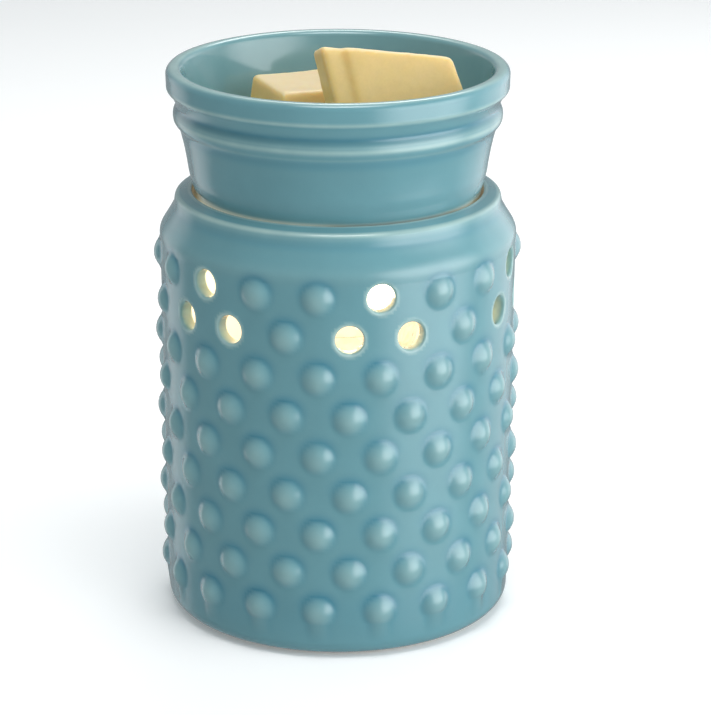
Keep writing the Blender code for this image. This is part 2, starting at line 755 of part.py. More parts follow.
def arc_slot(shape, inner, outer, low, high, start, end, steps=6):
    """Add a block that is bent round the lamp's axis, from angle start to end."""
    section = [(inner, low), (outer, low), (outer, high), (inner, high)]
    turn = Matrix.Rotation(start, 3, "Z")
    verts = [shape.verts.new(turn @ Vector((r, 0.0, z))) for r, z in section]
    face = shape.faces.new(verts)
    bmesh.ops.spin(
        shape, geom=[face, *face.edges, *verts], cent=(0, 0, 0), axis=(0, 0, 1),
        angle=end - start, steps=steps, use_duplicate=False,
    )


def pin_slots():
    """Cutters of the keyhole slots: the narrow slots, the wide pockets under them, the round entries."""
    pocket_top = HOLDER_TOP - (PIN_LENGTH - PIN_HEAD_HEIGHT) + 3 * GAP
    pocket_low = HOLDER_TOP - PIN_LENGTH - 2 * GAP - CONTACT_SIZE[2]
    narrow, wide, entries = bmesh.new(), bmesh.new(), bmesh.new()
    slot = PIN_RADIUS + GAP
    room = PIN_HEAD_RADIUS + GAP
    narrow_reach = (slot + GAP) / (PIN_PLACE - slot)
    wide_reach = (room + GAP) / (PIN_PLACE - room)
    for side in (0.5 * math.pi, 1.5 * math.pi):
        arc_slot(
            narrow, PIN_PLACE - slot, PIN_PLACE + slot, pocket_top - GAP, HOLDER_TOP + slot,
            side - narrow_reach, side + LAMP_TWIST + narrow_reach,
        )
        arc_slot(
            wide, PIN_PLACE - room, PIN_PLACE + room, pocket_low, pocket_top,
            side - wide_reach, side + LAMP_TWIST + wide_reach,
        )
        angle = side + LAMP_TWIST
        place_at = (PIN_PLACE * math.cos(angle), PIN_PLACE * math.sin(angle), HOLDER_TOP)
        bmesh.ops.create_cone(
            entries, cap_ends=True, segments=12, radius1=room, radius2=room,
            depth=2 * (HOLDER_TOP - pocket_top) + GAP, matrix=Matrix.Translation(place_at),
        )
    return [
        from_bmesh("pin_slot_tool", narrow, collection=cutters),
        from_bmesh("pin_pocket_tool", wide, collection=cutters),
        from_bmesh("pin_entry_tool", entries, collection=cutters),
    ]


def lamp_holder():
    """An oblong porcelain block with round ends, keyhole slots and two countersunk fixings."""
    straight = 0.5 * (HOLDER_LENGTH - HOLDER_WIDTH)
    shape = bmesh.new()
    ring = []
    for end in (1, -1):
        for step in range(9):
            angle = end * 0.5 * math.pi - math.pi * step / 8
            x = end * straight + 0.5 * HOLDER_WIDTH * math.cos(angle)
            y = 0.5 * HOLDER_WIDTH * math.sin(angle)
            ring.append(shape.verts.new((x, y, HOLDER_BOTTOM)))
    face = shape.faces.new(ring)
    pushed = bmesh.ops.extrude_face_region(shape, geom=[face])["geom"]
    moved = [item for item in pushed if isinstance(item, bmesh.types.BMVert)]
    bmesh.ops.translate(shape, verts=moved, vec=(0.0, 0.0, HOLDER_HEIGHT))
    holder = from_bmesh("lamp_holder", shape, porcelain())
    fixings = [(-HOLDER_SCREW_PLACE, 0.0), (HOLDER_SCREW_PLACE, 0.0)]
    head_seat = HOLDER_TOP - 2 * SCREW_HEAD_HEIGHT - 2 * GAP
    below = HOLDER_BOTTOM - HOLDER_HEIGHT
    above = HOLDER_TOP + HOLDER_HEIGHT
    cut(holder, rods("holder_screw_tool", fixings, SCREW_HOLE, below, above, 12))
    cut(holder, rods("holder_head_tool", fixings, SCREW_HEAD_RADIUS + GAP, head_seat, above, 16))
    for cutter in pin_slots():
        cut(holder, cutter)
    tip = BRACKET_TOP - BRACKET_SHEET - SCREW_TAIL
    for number, (x, y) in enumerate(fixings, 1):
        screw(f"holder_screw_{number}", x, y, head_seat + GAP, tip, steel())
    level = HOLDER_TOP - PIN_LENGTH - GAP - 0.5 * CONTACT_SIZE[2]
    for name, side in (("live", -1), ("neutral", 1)):
        centre = (0.0, side * PIN_PLACE, level)
        block(f"holder_contact_{name}", CONTACT_SIZE, centre, brass())


def lamp():
    """The reflector lamp; every piece turns about the world's Z axis."""
    base = rounded([
        (0.0, LAMP_NECK, 0.0, 1),
        (0.85 * LAMP_BASE_RADIUS, LAMP_NECK, 0.0, 1),
        (LAMP_BASE_RADIUS, LAMP_NECK - 0.25 * LAMP_BASE_HEIGHT, 0.0010, 1),
        (LAMP_BASE_RADIUS, LAMP_BOTTOM, 0.0008, 2),
        (0.0, LAMP_BOTTOM, 0.0, 1),
    ])
    bulb_base = turned("bulb_base", base, porcelain(), 24)
    pins = [(0.0, -PIN_PLACE), (0.0, PIN_PLACE)]
    socket_top = LAMP_BOTTOM + 2 * PIN_RADIUS
    cut(bulb_base, rods("pin_socket_tool", pins, PIN_RADIUS + GAP, LAMP_BOTTOM - GAP, socket_top, 12))
    foot = HOLDER_TOP - PIN_LENGTH
    for name, (x, y) in zip(("live", "neutral"), pins):
        outline = [
            (0.0, socket_top - GAP), (PIN_RADIUS, socket_top - GAP),
            (PIN_RADIUS, foot + PIN_HEAD_HEIGHT), (PIN_HEAD_RADIUS, foot + PIN_HEAD_HEIGHT),
            (PIN_HEAD_RADIUS, foot), (0.0, foot),
        ]
        pin = turned(f"bulb_pin_{name}", outline, brass(), 12)
        shift(pin, x, y)
    rim = 0.5 * LAMP_DIAMETER
    throat = 0.80 * LAMP_BASE_RADIUS
    bow = []
    for step in range(7):
        share = step / 6
        radius = throat + (rim - 0.0008 - throat) * math.sin(0.5 * math.pi * share) ** 0.8
        bow.append((radius, REFLECTOR_BOTTOM + (LAMP_REFLECTOR_HEIGHT - 0.0040) * share))
    outside = [(rim, REFLECTOR_TOP), (rim, REFLECTOR_TOP - 0.0038), *reversed(bow)]
    inside = [(max(r - 1.3 * REFLECTOR_WALL, throat - REFLECTOR_WALL), z) for r, z in bow]
    inside[-1] = (rim - REFLECTOR_WALL, REFLECTOR_TOP - 0.0040)
    outline = [*outside, *inside, (rim - REFLECTOR_WALL, REFLECTOR_TOP)]
    turned("bulb_reflector", outline, reflector_coat(), 24, closed=True)
    lens_radius = rim - REFLECTOR_WALL - GAP
    low = REFLECTOR_TOP - LENS_THICKNESS - GAP
    lens = rounded([
        (0.0, low + 1.3 * LENS_THICKNESS, 0.0, 1),
        (0.75 * lens_radius, low + 1.2 * LENS_THICKNESS, 0.0050, 2),
        (lens_radius, low + 0.8 * LENS_THICKNESS, 0.0, 1),
        (lens_radius, low, 0.0, 1),
        (0.0, low, 0.0, 1),
    ])
    turned("bulb_lens", lens, clear_glass(), 24)
    stem = REFLECTOR_BOTTOM
    capsule = rounded([
        (0.0, stem + CAPSULE_HEIGHT, 0.0, 1),
        (CAPSULE_RADIUS, stem + CAPSULE_HEIGHT, 0.0040, 3),
        (CAPSULE_RADIUS, stem, 0.0, 1),
        (0.0, stem, 0.0, 1),
    ])
    turned("bulb_capsule", capsule, clear_glass(), 16)


# ------------------------------------------------------------------ terminal block and leads

def terminals():
    x_places = (-TERMINAL_PLACE, TERMINAL_PLACE)
    centre = (0.0, BLOCK_CENTRE, BLOCK_MIDDLE)
    body = block("terminal_block", BLOCK_SIZE, centre, porcelain(), 0.0010)
    bores = bmesh.new()
    for x in x_places:
        at = Matrix.Translation((x, BLOCK_CENTRE, BLOCK_MIDDLE)) @ Matrix.Rotation(math.pi / 2, 4, "X")
        radius = SLEEVE_RADIUS + GAP
        bmesh.ops.create_cone(
            bores, cap_ends=True, segments=16, radius1=radius, radius2=radius,
            depth=2 * BLOCK_SIZE[1], matrix=at,
        )
    cut(body, from_bmesh("block_bore_tool", bores, collection=cutters))
    half = 0.5 * TERMINAL_SCREW_PITCH
    tops = [(x, BLOCK_CENTRE + y) for x in x_places for y in (-half, half)]
    well = TERMINAL_SCREW_RADIUS + 2 * GAP
    cut(body, rods("block_well_tool", tops, well, BLOCK_MIDDLE, BLOCK_TOP + well, 12))
    cut(body, rods(
        "block_screw_tool", [(0.0, BLOCK_CENTRE)], SCREW_HOLE, ON_CARRIER - SCREW_HOLE,
        BLOCK_TOP + SCREW_HOLE, 12,
    ))
    screw("block_screw", 0.0, BLOCK_CENTRE, BLOCK_TOP + GAP, CARRIER_BOTTOM - SCREW_TAIL, steel())
    for name, x in zip(("live", "neutral"), x_places):
        outline = disc_outline(SLEEVE_RADIUS, -0.5 * SLEEVE_LENGTH, 0.5 * SLEEVE_LENGTH, SLEEVE_BORE)
        sleeve = turned(f"terminal_sleeve_{name}", outline, brass(), 12, closed=True)
        sleeve.rotation_euler = (-math.pi / 2, 0.0, 0.0)
        sleeve.location = (x, BLOCK_CENTRE, BLOCK_MIDDLE)
        holes = [(x, BLOCK_CENTRE - half), (x, BLOCK_CENTRE + half)]
        radius = TERMINAL_SCREW_RADIUS + GAP
        cut(sleeve, rods(f"sleeve_{name}_tool", holes, radius, BLOCK_MIDDLE, BLOCK_TOP, 12))
    for number, (x, y) in enumerate(tops, 1):
        low = BLOCK_MIDDLE + SLEEVE_BORE
        shift(disc(
            f"terminal_screw_{number}", TERMINAL_SCREW_RADIUS, low, BLOCK_TOP, steel(), steps=10,
        ), x, y)


def bezier(points, count):
    """Points along a cubic curve through its four control points."""
    a, b, c, d = (Vector(point) for point in points)
    spots = []
    for step in range(count + 1):
        t = step / count
        s = 1 - t
        spots.append(s ** 3 * a + 3 * s * s * t * b + 3 * s * t * t * c + t ** 3 * d)
    return spots


def leads():
    """Sleeved wires from under the holder to the front mouths of the terminal block."""
    front = BLOCK_CENTRE - 0.5 * BLOCK_SIZE[1] - GAP
    start_y = 0.5 * BRACKET_WIDTH + LEAD_RADIUS + 3 * GAP
    for name, side in (("live", -1), ("neutral", 1)):
        x = side * TERMINAL_PLACE
        start = (0.7 * x, start_y, HOLDER_BOTTOM - GAP)
        end = (x, front, BLOCK_MIDDLE)
        drop = 0.6 * (start[2] - end[2])
        route = bezier([
            start, (0.7 * x, start_y, start[2] - drop), (x, front - 0.0040, end[2]), end,
        ], 10)
        curve = bpy.data.curves.new(f"lead_{name}", "CURVE")
        curve.dimensions = "3D"
        curve.bevel_depth = LEAD_RADIUS
        curve.bevel_resolution = 2
        curve.use_fill_caps = True
        spline = curve.splines.new("POLY")
        spline.points.add(len(route) - 1)
        for point, spot in zip(spline.points, route):
            point.co = (*spot, 1.0)
        place(f"lead_{name}", curve, sleeving())


def main():
    clear_scene()
    ceramic_body()
    cord_grommet()
    wax_dish()
    melt_left()
    melt_right()
    base_cover()
    rubber_feet()
    base_screws()
    floor_gasket()
    carrier_plate()
    lamp_bracket()
    lamp_holder()
    lamp()
    terminals()
    leads()


main()
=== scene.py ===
"""The finished look of a lamp-heated scented wax warmer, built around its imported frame.

A studded and pierced ceramic body stands on four rubber feet and holds a lift-out dish with two wax
melts. Inside are a twist-lock reflector lamp, its holder and bracket, and the mains terminals.
"""

import json
import math

import bmesh
import bpy
import numpy as np
from bpy.props import FloatProperty, FloatVectorProperty, IntProperty, PointerProperty
from mathutils import Matrix, Vector, noise


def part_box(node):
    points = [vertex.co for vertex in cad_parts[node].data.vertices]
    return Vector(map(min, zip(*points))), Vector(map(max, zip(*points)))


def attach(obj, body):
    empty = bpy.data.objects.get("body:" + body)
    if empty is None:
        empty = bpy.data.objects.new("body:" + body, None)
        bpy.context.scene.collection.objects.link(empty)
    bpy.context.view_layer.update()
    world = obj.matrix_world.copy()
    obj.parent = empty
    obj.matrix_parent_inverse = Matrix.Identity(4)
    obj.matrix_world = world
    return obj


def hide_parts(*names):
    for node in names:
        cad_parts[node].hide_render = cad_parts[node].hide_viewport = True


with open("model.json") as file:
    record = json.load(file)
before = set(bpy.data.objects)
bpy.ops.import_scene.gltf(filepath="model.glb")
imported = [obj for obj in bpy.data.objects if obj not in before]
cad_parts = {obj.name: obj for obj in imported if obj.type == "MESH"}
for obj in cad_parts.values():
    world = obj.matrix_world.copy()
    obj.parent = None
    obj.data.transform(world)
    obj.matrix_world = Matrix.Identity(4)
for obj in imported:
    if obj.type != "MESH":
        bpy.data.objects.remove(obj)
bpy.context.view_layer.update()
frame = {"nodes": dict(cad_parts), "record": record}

bl_info = {
    "name": "Scented wax warmer",
    "version": (1, 0, 0),
    "blender": (4, 5, 0),
    "location": "View3D > Sidebar > Warmer",
    "description": "Builds the finished pieces of a lamp-heated wax warmer around its frame",
    "category": "Object",
}

MM = 0.001

# ---- places read from the frame
BODY_LOW, BODY_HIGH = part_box("ceramic_body")
DISH_LOW, DISH_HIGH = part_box("wax_dish")
FLOOR_LOW, FLOOR_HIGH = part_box("floor_gasket")
COVER_LOW, COVER_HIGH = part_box("base_cover")
BUSH_LOW, BUSH_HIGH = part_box("cord_grommet")
BODY_TOP = BODY_HIGH.z
BODY_FOOT = BODY_LOW.z
DISH_TOP = DISH_HIGH.z
DISH_BOTTOM = DISH_LOW.z
LIP_RADIUS = DISH_HIGH.x
FLOOR_TOP = FLOOR_LOW.z - 0.3 * MM
FLOOR_BOTTOM = COVER_HIGH.z + 0.3 * MM
INLET_HEIGHT = 0.5 * (BUSH_LOW.z + BUSH_HIGH.z)
RING_RADIUS = FLOOR_HIGH.x - 6.0 * MM

# ---- outline of the body, as (radius, height under the body's top) in millimetres
NECK_BORE = 43.0
SHOULDER_LINE = [
    (48.50, 3.9), (48.75, 5.0), (49.25, 6.0), (50.15, 7.6), (50.95, 8.9), (51.85, 10.3),
    (52.50, 11.5), (52.85, 12.6), (52.90, 13.8), (52.82, 15.4),
]
LEDGE_BORE = 38.5
LEDGE_DROP = 3.5
LEDGE_SHEET = 4.0
WALL = 4.5
FOOT_ROUNDING = 10.0

# ---- outline of the dish, as (radius, height under the dish's top) in millimetres
DISH_LINE = [
    (50.30, 5.0), (50.28, 6.0), (49.85, 6.75), (49.1, 7.5), (48.2, 9.0), (47.62, 10.4),
    (47.55, 11.2),
    (47.95, 12.1), (48.32, 13.0), (48.42, 14.2), (48.25, 15.4), (47.75, 16.3), (46.85, 17.4),
    (46.3, 18.9), (45.9, 20.5), (45.4, 22.6), (45.0, 24.6), (44.45, 27.8), (44.0, 30.8),
    (43.3, 33.6), (42.6, 36.1),
]

# ---- studs and light holes, counted in half steps of the stud pitch round the body
STUD_COLUMNS = 18
STUD_PITCH = 11.97 * MM
STUD_DROP = 19.4 * MM
STUD_ROWS = 9
HOLE_GROUPS = 6
ROWS_PER_PITCH = 12

body_of = {
    node: body for body, nodes in frame["record"]["behaviour"]["bodies"].items() for node in nodes
}


# ------------------------------------------------------------------ settings

def length(name, description, default):
    return FloatProperty(name=name, description=description, default=default, unit="LENGTH")


def tint(name, description, default):
    return FloatVectorProperty(
        name=name, description=description, default=default, subtype="COLOR", size=3, min=0.0,
        max=1.0,
    )


def level(name, description, default):
    return FloatProperty(name=name, description=description, default=default, min=0.0)


def count(name, description, default, least):
    return IntProperty(name=name, description=description, default=default, min=least)


class BodySizes(bpy.types.PropertyGroup):
    """Sizes of the ceramic body."""

    wall_radius: length("Wall radius", "Radius of the wall at the shoulder", 0.0528)
    wall_taper: length("Wall taper", "How much narrower the wall is at the foot", 0.0011)
    stud_radius: length("Stud radius", "Radius of a stud at its root", 0.00495)
    stud_height: length("Stud height", "How far a stud stands out", 0.0020)
    hole_radius: length("Hole radius", "Radius of a light hole", 0.0041)
    hole_rounding: length("Hole rounding", "Rounding of a light hole's outer edge", 0.0009)
    turn_steps: count("Steps round", "Faces round the body", 360, 90)


class DishSizes(bpy.types.PropertyGroup):
    """Sizes of the dish."""

    lip_width: length("Lip width", "Width of the rounded lip", 0.0044)
    bowl_depth: length("Bowl depth", "Depth of the bowl under the lip", 0.0283)
    floor_thickness: length("Floor thickness", "Thickness under the bowl", 0.0040)
    skirt_thickness: length("Skirt thickness", "Wall of the hollow ring under the dish", 0.0045)
    bowl_rounding: length("Bowl rounding", "Rounding between the bowl's wall and floor", 0.0070)
    turn_steps: count("Steps round", "Faces round the dish", 256, 64)


class MeltSizes(bpy.types.PropertyGroup):
    """Sizes of the wax melts."""

    edge_rounding: length("Edge rounding", "Rounding of the edges", 0.0016)
    mesh_size: length("Mesh size", "Size of the faces on a melt", 0.00065)


class WarmerLook(bpy.types.PropertyGroup):
    """Colours of the glaze, the wax and the lamp's light, with the painted highlight, shade and
    lamp glow.
    """

    glaze: tint("Glaze", "Colour of the glaze on a plain wall", (0.128, 0.297, 0.338))
    # Pooled-glaze colour; also the colour of the painted shadow in the dish's groove and under its
    # bead.
    glaze_deep_and_shade: tint("Pooled glaze", "Colour where the glaze is thick", (0.040, 0.190, 0.270))
    # Thin-glaze colour; also the colour of the painted highlight lines on the neck's lip and on the
    # dish's lip and bead.
    glaze_thin_and_highlight: tint(
        "Thin glaze", "Colour where the glaze breaks over an edge", (0.360, 0.520, 0.500))
    clay: tint("Bare clay", "Colour of the unglazed clay", (0.78, 0.72, 0.60))
    wax: tint("Wax", "Colour of the wax", (0.63, 0.47, 0.19))
    # Colour of the painted warm lamp light low on the melts and the painted shade on their left
    # sides.
    wax_warm_light_and_shade: tint("Deep wax", "Colour where the wax is thick and warm", (0.72, 0.44, 0.09))
    # Colour of the painted highlight on the melts' tops and edges.
    wax_painted_highlight: tint("Pale wax", "Colour of the wax on its edges and top", (0.66, 0.53, 0.33))
    lamp_light: tint("Lamp light", "Colour of the lamp's light", (1.0, 0.86, 0.58))
    # Colours and strength of the painted lamp light on the chamber's wall, the gap round the dish
    # and the light holes.
    glow_bright: tint(
        "Bright glow", "Colour of the chamber where it is brightest", (1.0, 0.84, 0.66))
    glow_dim: tint("Dim glow", "Colour of the glow where it fades", (1.0, 0.60, 0.18))
    glow: level("Glow", "How bright the chamber is", 0.74)


class StudioLook(bpy.types.PropertyGroup):
    """The lights and the camera."""

    key_power: level("Key light", "Power of the large light on the right", 14.0)
    fill_power: level("Fill light", "Power of the light overhead", 6.3)
    back_power: level("Back light", "Power of the light above and behind", 3.5)
    veil_power: level("Veil light", "Power of the soft light behind on the right", 2.1)
    side_power: level("Side light", "Power of the soft light behind on the left", 0.6)
    camera_lens: level("Lens", "Focal length in millimetres", 153.84)


# ------------------------------------------------------------------ outlines and shapes

def rounded(corners):
    """Replace the corners (r, z, rounding, steps) of a line by arcs; the two ends stay."""
    line = []
    last = len(corners) - 1
    for index, (r, z, rounding, steps) in enumerate(corners):
        here = Vector((r, z))
        if rounding <= 0 or index in (0, last):
            line.append((r, z))
            continue
        before = Vector(corners[index - 1][:2]) - here
        after = Vector(corners[index + 1][:2]) - here
        half = before.angle(after) / 2
        reach = min(rounding / math.tan(half), 0.48 * before.length, 0.48 * after.length)
        radius = reach * math.tan(half)
        inward = (before.normalized() + after.normalized()).normalized()
        centre = here + inward * (radius / math.sin(half))
        start = here + before.normalized() * reach - centre
        sweep = start.angle_signed(here + after.normalized() * reach - centre)
        for step in range(steps + 1):
            spot = centre + Matrix.Rotation(-sweep * step / steps, 2) @ start
            line.append((spot.x, spot.y))
    return line


def flowing(points, spacing):
    """A smooth line through the points, with about the given spacing."""
    ends = [points[0], *points, points[-1]]
    line = []
    for index in range(1, len(ends) - 2):
        a, b, c, d = (Vector(point) for point in ends[index - 1:index + 3])
        count = max(1, round((c - b).length / spacing))
        for step in range(count):
            t = step / count
            spot = 0.5 * (
                2 * b + (c - a) * t + (2 * a - 5 * b + 4 * c - d) * t * t
                + (3 * b - a - 3 * c + d) * t ** 3
            )
            line.append((spot.x, spot.y))
    line.append(tuple(points[-1]))
    return line


def under(top, points):
    """Points (radius, drop) in millimetres as (radius, height) in metres."""
    return [(r * MM, top - drop * MM) for r, drop in points]


def spaced(line, longest):
    """Split the long pieces of a line, so that no piece is longer than given."""
    made = [line[0]]
    for here, there in zip(line, line[1:]):
        count = max(1, math.ceil(math.dist(here, there) / longest))
        for step in range(1, count + 1):
            share = step / count
            made.append(tuple(a + (b - a) * share for a, b in zip(here, there)))
    return made


def revolve(line, steps, closed=False):
    """Spin a line of (radius, height) round Z. Ends on the axis become single points."""
    shape = bmesh.new()
    verts = [shape.verts.new((r, 0.0, z)) for r, z in line]
    pairs = list(zip(verts, verts[1:]))
    if closed:
        pairs.append((verts[-1], verts[0]))
    edges = [shape.edges.new(pair) for pair in pairs]
    bmesh.ops.spin(
        shape, geom=verts + edges, cent=(0, 0, 0), axis=(0, 0, 1), angle=math.tau,
        steps=steps, use_merge=True, use_duplicate=False,
    )
    bmesh.ops.remove_doubles(shape, verts=shape.verts, dist=1e-6)
    bmesh.ops.recalc_face_normals(shape, faces=shape.faces)
    return shape


def moved(shape, matrix):
    bmesh.ops.transform(shape, matrix=matrix, verts=shape.verts)
    return shape


def smoothed(mesh, sharp=40):
    """Smooth faces, with sharp edges over the angle in degrees."""
    mesh.shade_smooth()
    mesh.set_sharp_from_angle(angle=math.radians(sharp))
    return mesh


def mesh_of(name, shape, sharp=40):
    """A mesh from the shape, with smooth faces and sharp edges over the angle in degrees."""
    mesh = bpy.data.meshes.new(name)
    shape.to_mesh(mesh)
    shape.free()
    return smoothed(mesh, sharp)


def place(name, mesh, finish, node):
    """Make the piece that stands for a CAD node, give it the finish, put it on that node's body and
    hide the node.
    """
    piece = bpy.data.objects.new(name, mesh)
    bpy.context.scene.collection.objects.link(piece)
    mesh.materials.clear()
    mesh.materials.append(finish)
    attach(piece, body_of[node])
    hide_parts(node)


def turned_piece(name, node, finish, line, steps, closed=False, at=(0.0, 0.0), sharp=40):
    """A piece spun from a line of (radius, height) round an upright axis at a place (x, y)."""
    shape = moved(revolve(line, steps, closed), Matrix.Translation((*at, 0.0)))
    place(name, mesh_of(name, shape, sharp), finish, node)


def span(node):
    """A CAD node's lowest and highest z, half its width along X, and its middle (x, y)."""
    low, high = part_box(node)
    middle = 0.5 * (low + high)
    return low.z, high.z, 0.5 * (high.x - low.x), (middle.x, middle.y)


def settled(mesh, *tools):
    """The mesh after the modifiers that each tool adds to a passing object."""
    helper = bpy.data.objects.new("helper", mesh)
    bpy.context.scene.collection.objects.link(helper)
    for tool in tools:
        tool(helper)
    bpy.context.view_layer.update()
    graph = bpy.context.evaluated_depsgraph_get()
    result = bpy.data.meshes.new_from_object(helper.evaluated_get(graph))
    bpy.data.objects.remove(helper)
    return result


def cut_by(cutter_mesh):
    """A tool that takes the cutter's shape out of the helper."""
    def tool(helper):
        cutter = bpy.data.objects.new("cutter", cutter_mesh)
        bpy.context.scene.collection.objects.link(cutter)
        cutter.hide_render = True
        cutter.hide_viewport = True
        spare_objects.append(cutter)
        modifier = helper.modifiers.new("cut", "BOOLEAN")
        modifier.operation = "DIFFERENCE"
        modifier.solver = "EXACT"
        modifier.object = cutter
    return tool


def bevelled(width, segments=2, angle=30):
    """A tool that rounds the helper's sharp edges."""
    def tool(helper):
        modifier = helper.modifiers.new("round", "BEVEL")
        modifier.width = width
        modifier.segments = segments
        modifier.limit_method = "ANGLE"
        modifier.angle_limit = math.radians(angle)
        modifier.harden_normals = False
    return tool


spare_objects = []


def clear_spares():
    while spare_objects:
        bpy.data.objects.remove(spare_objects.pop())


def joined(shapes):
    """One bmesh from several."""
    whole = bmesh.new()
    for shape in shapes:
        mesh = bpy.data.meshes.new("passing")
        shape.to_mesh(mesh)
        shape.free()
        whole.from_mesh(mesh)
        bpy.data.meshes.remove(mesh)
    return whole


def refined(node, width, name, finish, angle=30):
    """A copy of a CAD node, merged and with rounded edges, that stands for the node."""
    shape = bmesh.new()
    shape.from_mesh(frame["nodes"][node].data)
    bmesh.ops.remove_doubles(shape, verts=shape.verts, dist=2e-6)
    bmesh.ops.dissolve_limit(
        shape, angle_limit=math.radians(1.0), verts=shape.verts, edges=shape.edges,
    )
    mesh = smoothed(settled(mesh_of(node, shape), bevelled(width, angle=angle)))
    return place(name, mesh, finish, node)


def mark(mesh, name, values):
    """Store one number for each point of the mesh."""
    attribute = mesh.attributes.new(name, "FLOAT", "POINT")
    attribute.data.foreach_set("value", np.clip(values, 0.0, 1.0).astype(np.float32))


def points_of(mesh):
    points = np.empty(len(mesh.vertices) * 3, np.float32)
    mesh.vertices.foreach_get("co", points)
    return points.reshape(-1, 3).astype(float)


def ramp(values, low, high):
    """0 at low, 1 at high, smooth between them."""
    share = np.clip((values - low) / (high - low), 0.0, 1.0)
    return share * share * (3 - 2 * share)


def bump_at(values, middle, width):
    """1 at the middle, fading to 0 over the width on each side."""
    return np.exp(-((values - middle) / width) ** 2)


# ------------------------------------------------------------------ materials

def feed(tree, socket, value):
    """Give a node's input a number, a colour or another node's output."""
    if isinstance(value, bpy.types.NodeSocket):
        tree.links.new(value, socket)
    elif socket.type == "RGBA" and len(value) == 3:
        socket.default_value = (*value, 1.0)
    else:
        socket.default_value = value


def add(tree, kind, inputs=None, **settings):
    """Add a node with its settings and its inputs."""
    node = tree.nodes.new(kind)
    for key, value in settings.items():
        setattr(node, key, value)
    for key, value in (inputs or {}).items():
        feed(tree, node.inputs[key], value)
    return node


def blend_of(tree, share, first, second, mode="MIX"):
    """Mix two colours; returns the colour output."""
    inputs = {0: share, 6: first, 7: second}
    return add(tree, "ShaderNodeMix", inputs, data_type="RGBA", blend_type=mode).outputs[2]


def sums(tree, operation, first, second=0.0):
    """A Math node; returns its output."""
    return add(tree, "ShaderNodeMath", {0: first, 1: second}, operation=operation).outputs[0]


def between(tree, value, low, high, new_low=0.0, new_high=1.0):
    """Map a value from one range to another, held at both ends."""
    node = add(tree, "ShaderNodeMapRange", {
        "Value": value, "From Min": low, "From Max": high, "To Min": new_low, "To Max": new_high,
    })
    return node.outputs[0]


def attribute(tree, name):
    return add(tree, "ShaderNodeAttribute", attribute_name=name).outputs["Fac"]


def object_place(tree):
    return add(tree, "ShaderNodeTexCoord").outputs["Object"]


def clouds(tree, place_socket, scale, detail=3.0, roughness=0.5):
    return add(tree, "ShaderNodeTexNoise", {
        "Vector": place_socket, "Scale": scale, "Detail": detail, "Roughness": roughness,
    }).outputs["Fac"]


def new_group(name, inputs, outputs):
    """An empty shader node group with the named sockets."""
    group = bpy.data.node_groups.new(name, "ShaderNodeTree")
    for label, kind, default in inputs:
        socket = group.interface.new_socket(label, in_out="INPUT", socket_type=kind)
        socket.default_value = default
    for label, kind in outputs:
        group.interface.new_socket(label, in_out="OUTPUT", socket_type=kind)
    source = group.nodes.new("NodeGroupInput")
    sink = group.nodes.new("NodeGroupOutput")
    return group, source, sink


def mottle_group():
    """Cloudy change of a colour, with a fine grain as height."""
    found = bpy.data.node_groups.get("cloudy_grain")
    if found:
        return found
    group, source, sink = new_group(
        "cloudy_grain",
        [
            ("Colour", "NodeSocketColor", (0.5, 0.5, 0.5, 1.0)),
            ("Cloud Size", "NodeSocketFloat", 60.0),
            ("Cloud Strength", "NodeSocketFloat", 0.1),
            ("Grain Size", "NodeSocketFloat", 1500.0),
            ("Grain Strength", "NodeSocketFloat", 0.05),
        ],
        [("Colour", "NodeSocketColor"), ("Cloud", "NodeSocketFloat"),
         ("Height", "NodeSocketFloat")],
    )
    spot = object_place(group)
    cloud = clouds(group, spot, source.outputs["Cloud Size"], 4.0)
    grain = clouds(group, spot, source.outputs["Grain Size"], 2.0)
    swing, fine = (
        sums(group, "MULTIPLY", sums(group, "SUBTRACT", pattern, 0.5), source.outputs[strength])
        for pattern, strength in ((cloud, "Cloud Strength"), (grain, "Grain Strength"))
    )
    level = sums(group, "ADD", sums(group, "ADD", swing, fine), 1.0)
    channels = {"Red": level, "Green": level, "Blue": level}
    grey = add(group, "ShaderNodeCombineColor", channels).outputs[0]
    colour = blend_of(group, 1.0, source.outputs["Colour"], grey, "MULTIPLY")
    group.links.new(colour, sink.inputs["Colour"])
    group.links.new(cloud, sink.inputs["Cloud"])
    group.links.new(grain, sink.inputs["Height"])
    return group


def brushed_group():
    """Fine lines along X, as height and roughness."""
    found = bpy.data.node_groups.get("brushed_lines")
    if found:
        return found
    group, source, sink = new_group(
        "brushed_lines",
        [("Roughness", "NodeSocketFloat", 0.35), ("Line Size", "NodeSocketFloat", 2500.0)],
        [("Roughness", "NodeSocketFloat"), ("Height", "NodeSocketFloat")],
    )
    stretched = add(group, "ShaderNodeMapping", {
        "Vector": object_place(group), "Scale": (0.06, 1.0, 1.0),
    }).outputs[0]
    lines = clouds(group, stretched, source.outputs["Line Size"], 3.0)
    patches = clouds(group, object_place(group), 220.0, 2.0)
    swing = sums(group, "MULTIPLY", sums(group, "SUBTRACT", patches, 0.5), 0.18)
    rough = sums(group, "ADD", source.outputs["Roughness"], swing)
    group.links.new(rough, sink.inputs["Roughness"])
    group.links.new(lines, sink.inputs["Height"])
    return group


def cloudy(tree, colour, cloud_size, cloud_strength, grain_size, grain_strength):
    """The cloudy grain placed in a material; returns its outputs."""
    return add(tree, "ShaderNodeGroup", {
        "Colour": colour, "Cloud Size": cloud_size, "Cloud Strength": cloud_strength,
        "Grain Size": grain_size, "Grain Strength": grain_strength,
    }, node_tree=mottle_group()).outputs


def new_material(name, colour, fixed=None):
    """A material with the fixed values on its shader; returns it, its tree and its shader."""
    material = bpy.data.materials.new(name)
    material.use_nodes = True
    material.diffuse_color = (*colour, 1.0)
    shader = material.node_tree.nodes["Principled BSDF"]
    for label, value in (fixed or {}).items():
        shader.inputs[label].default_value = value
    return material, material.node_tree, shader


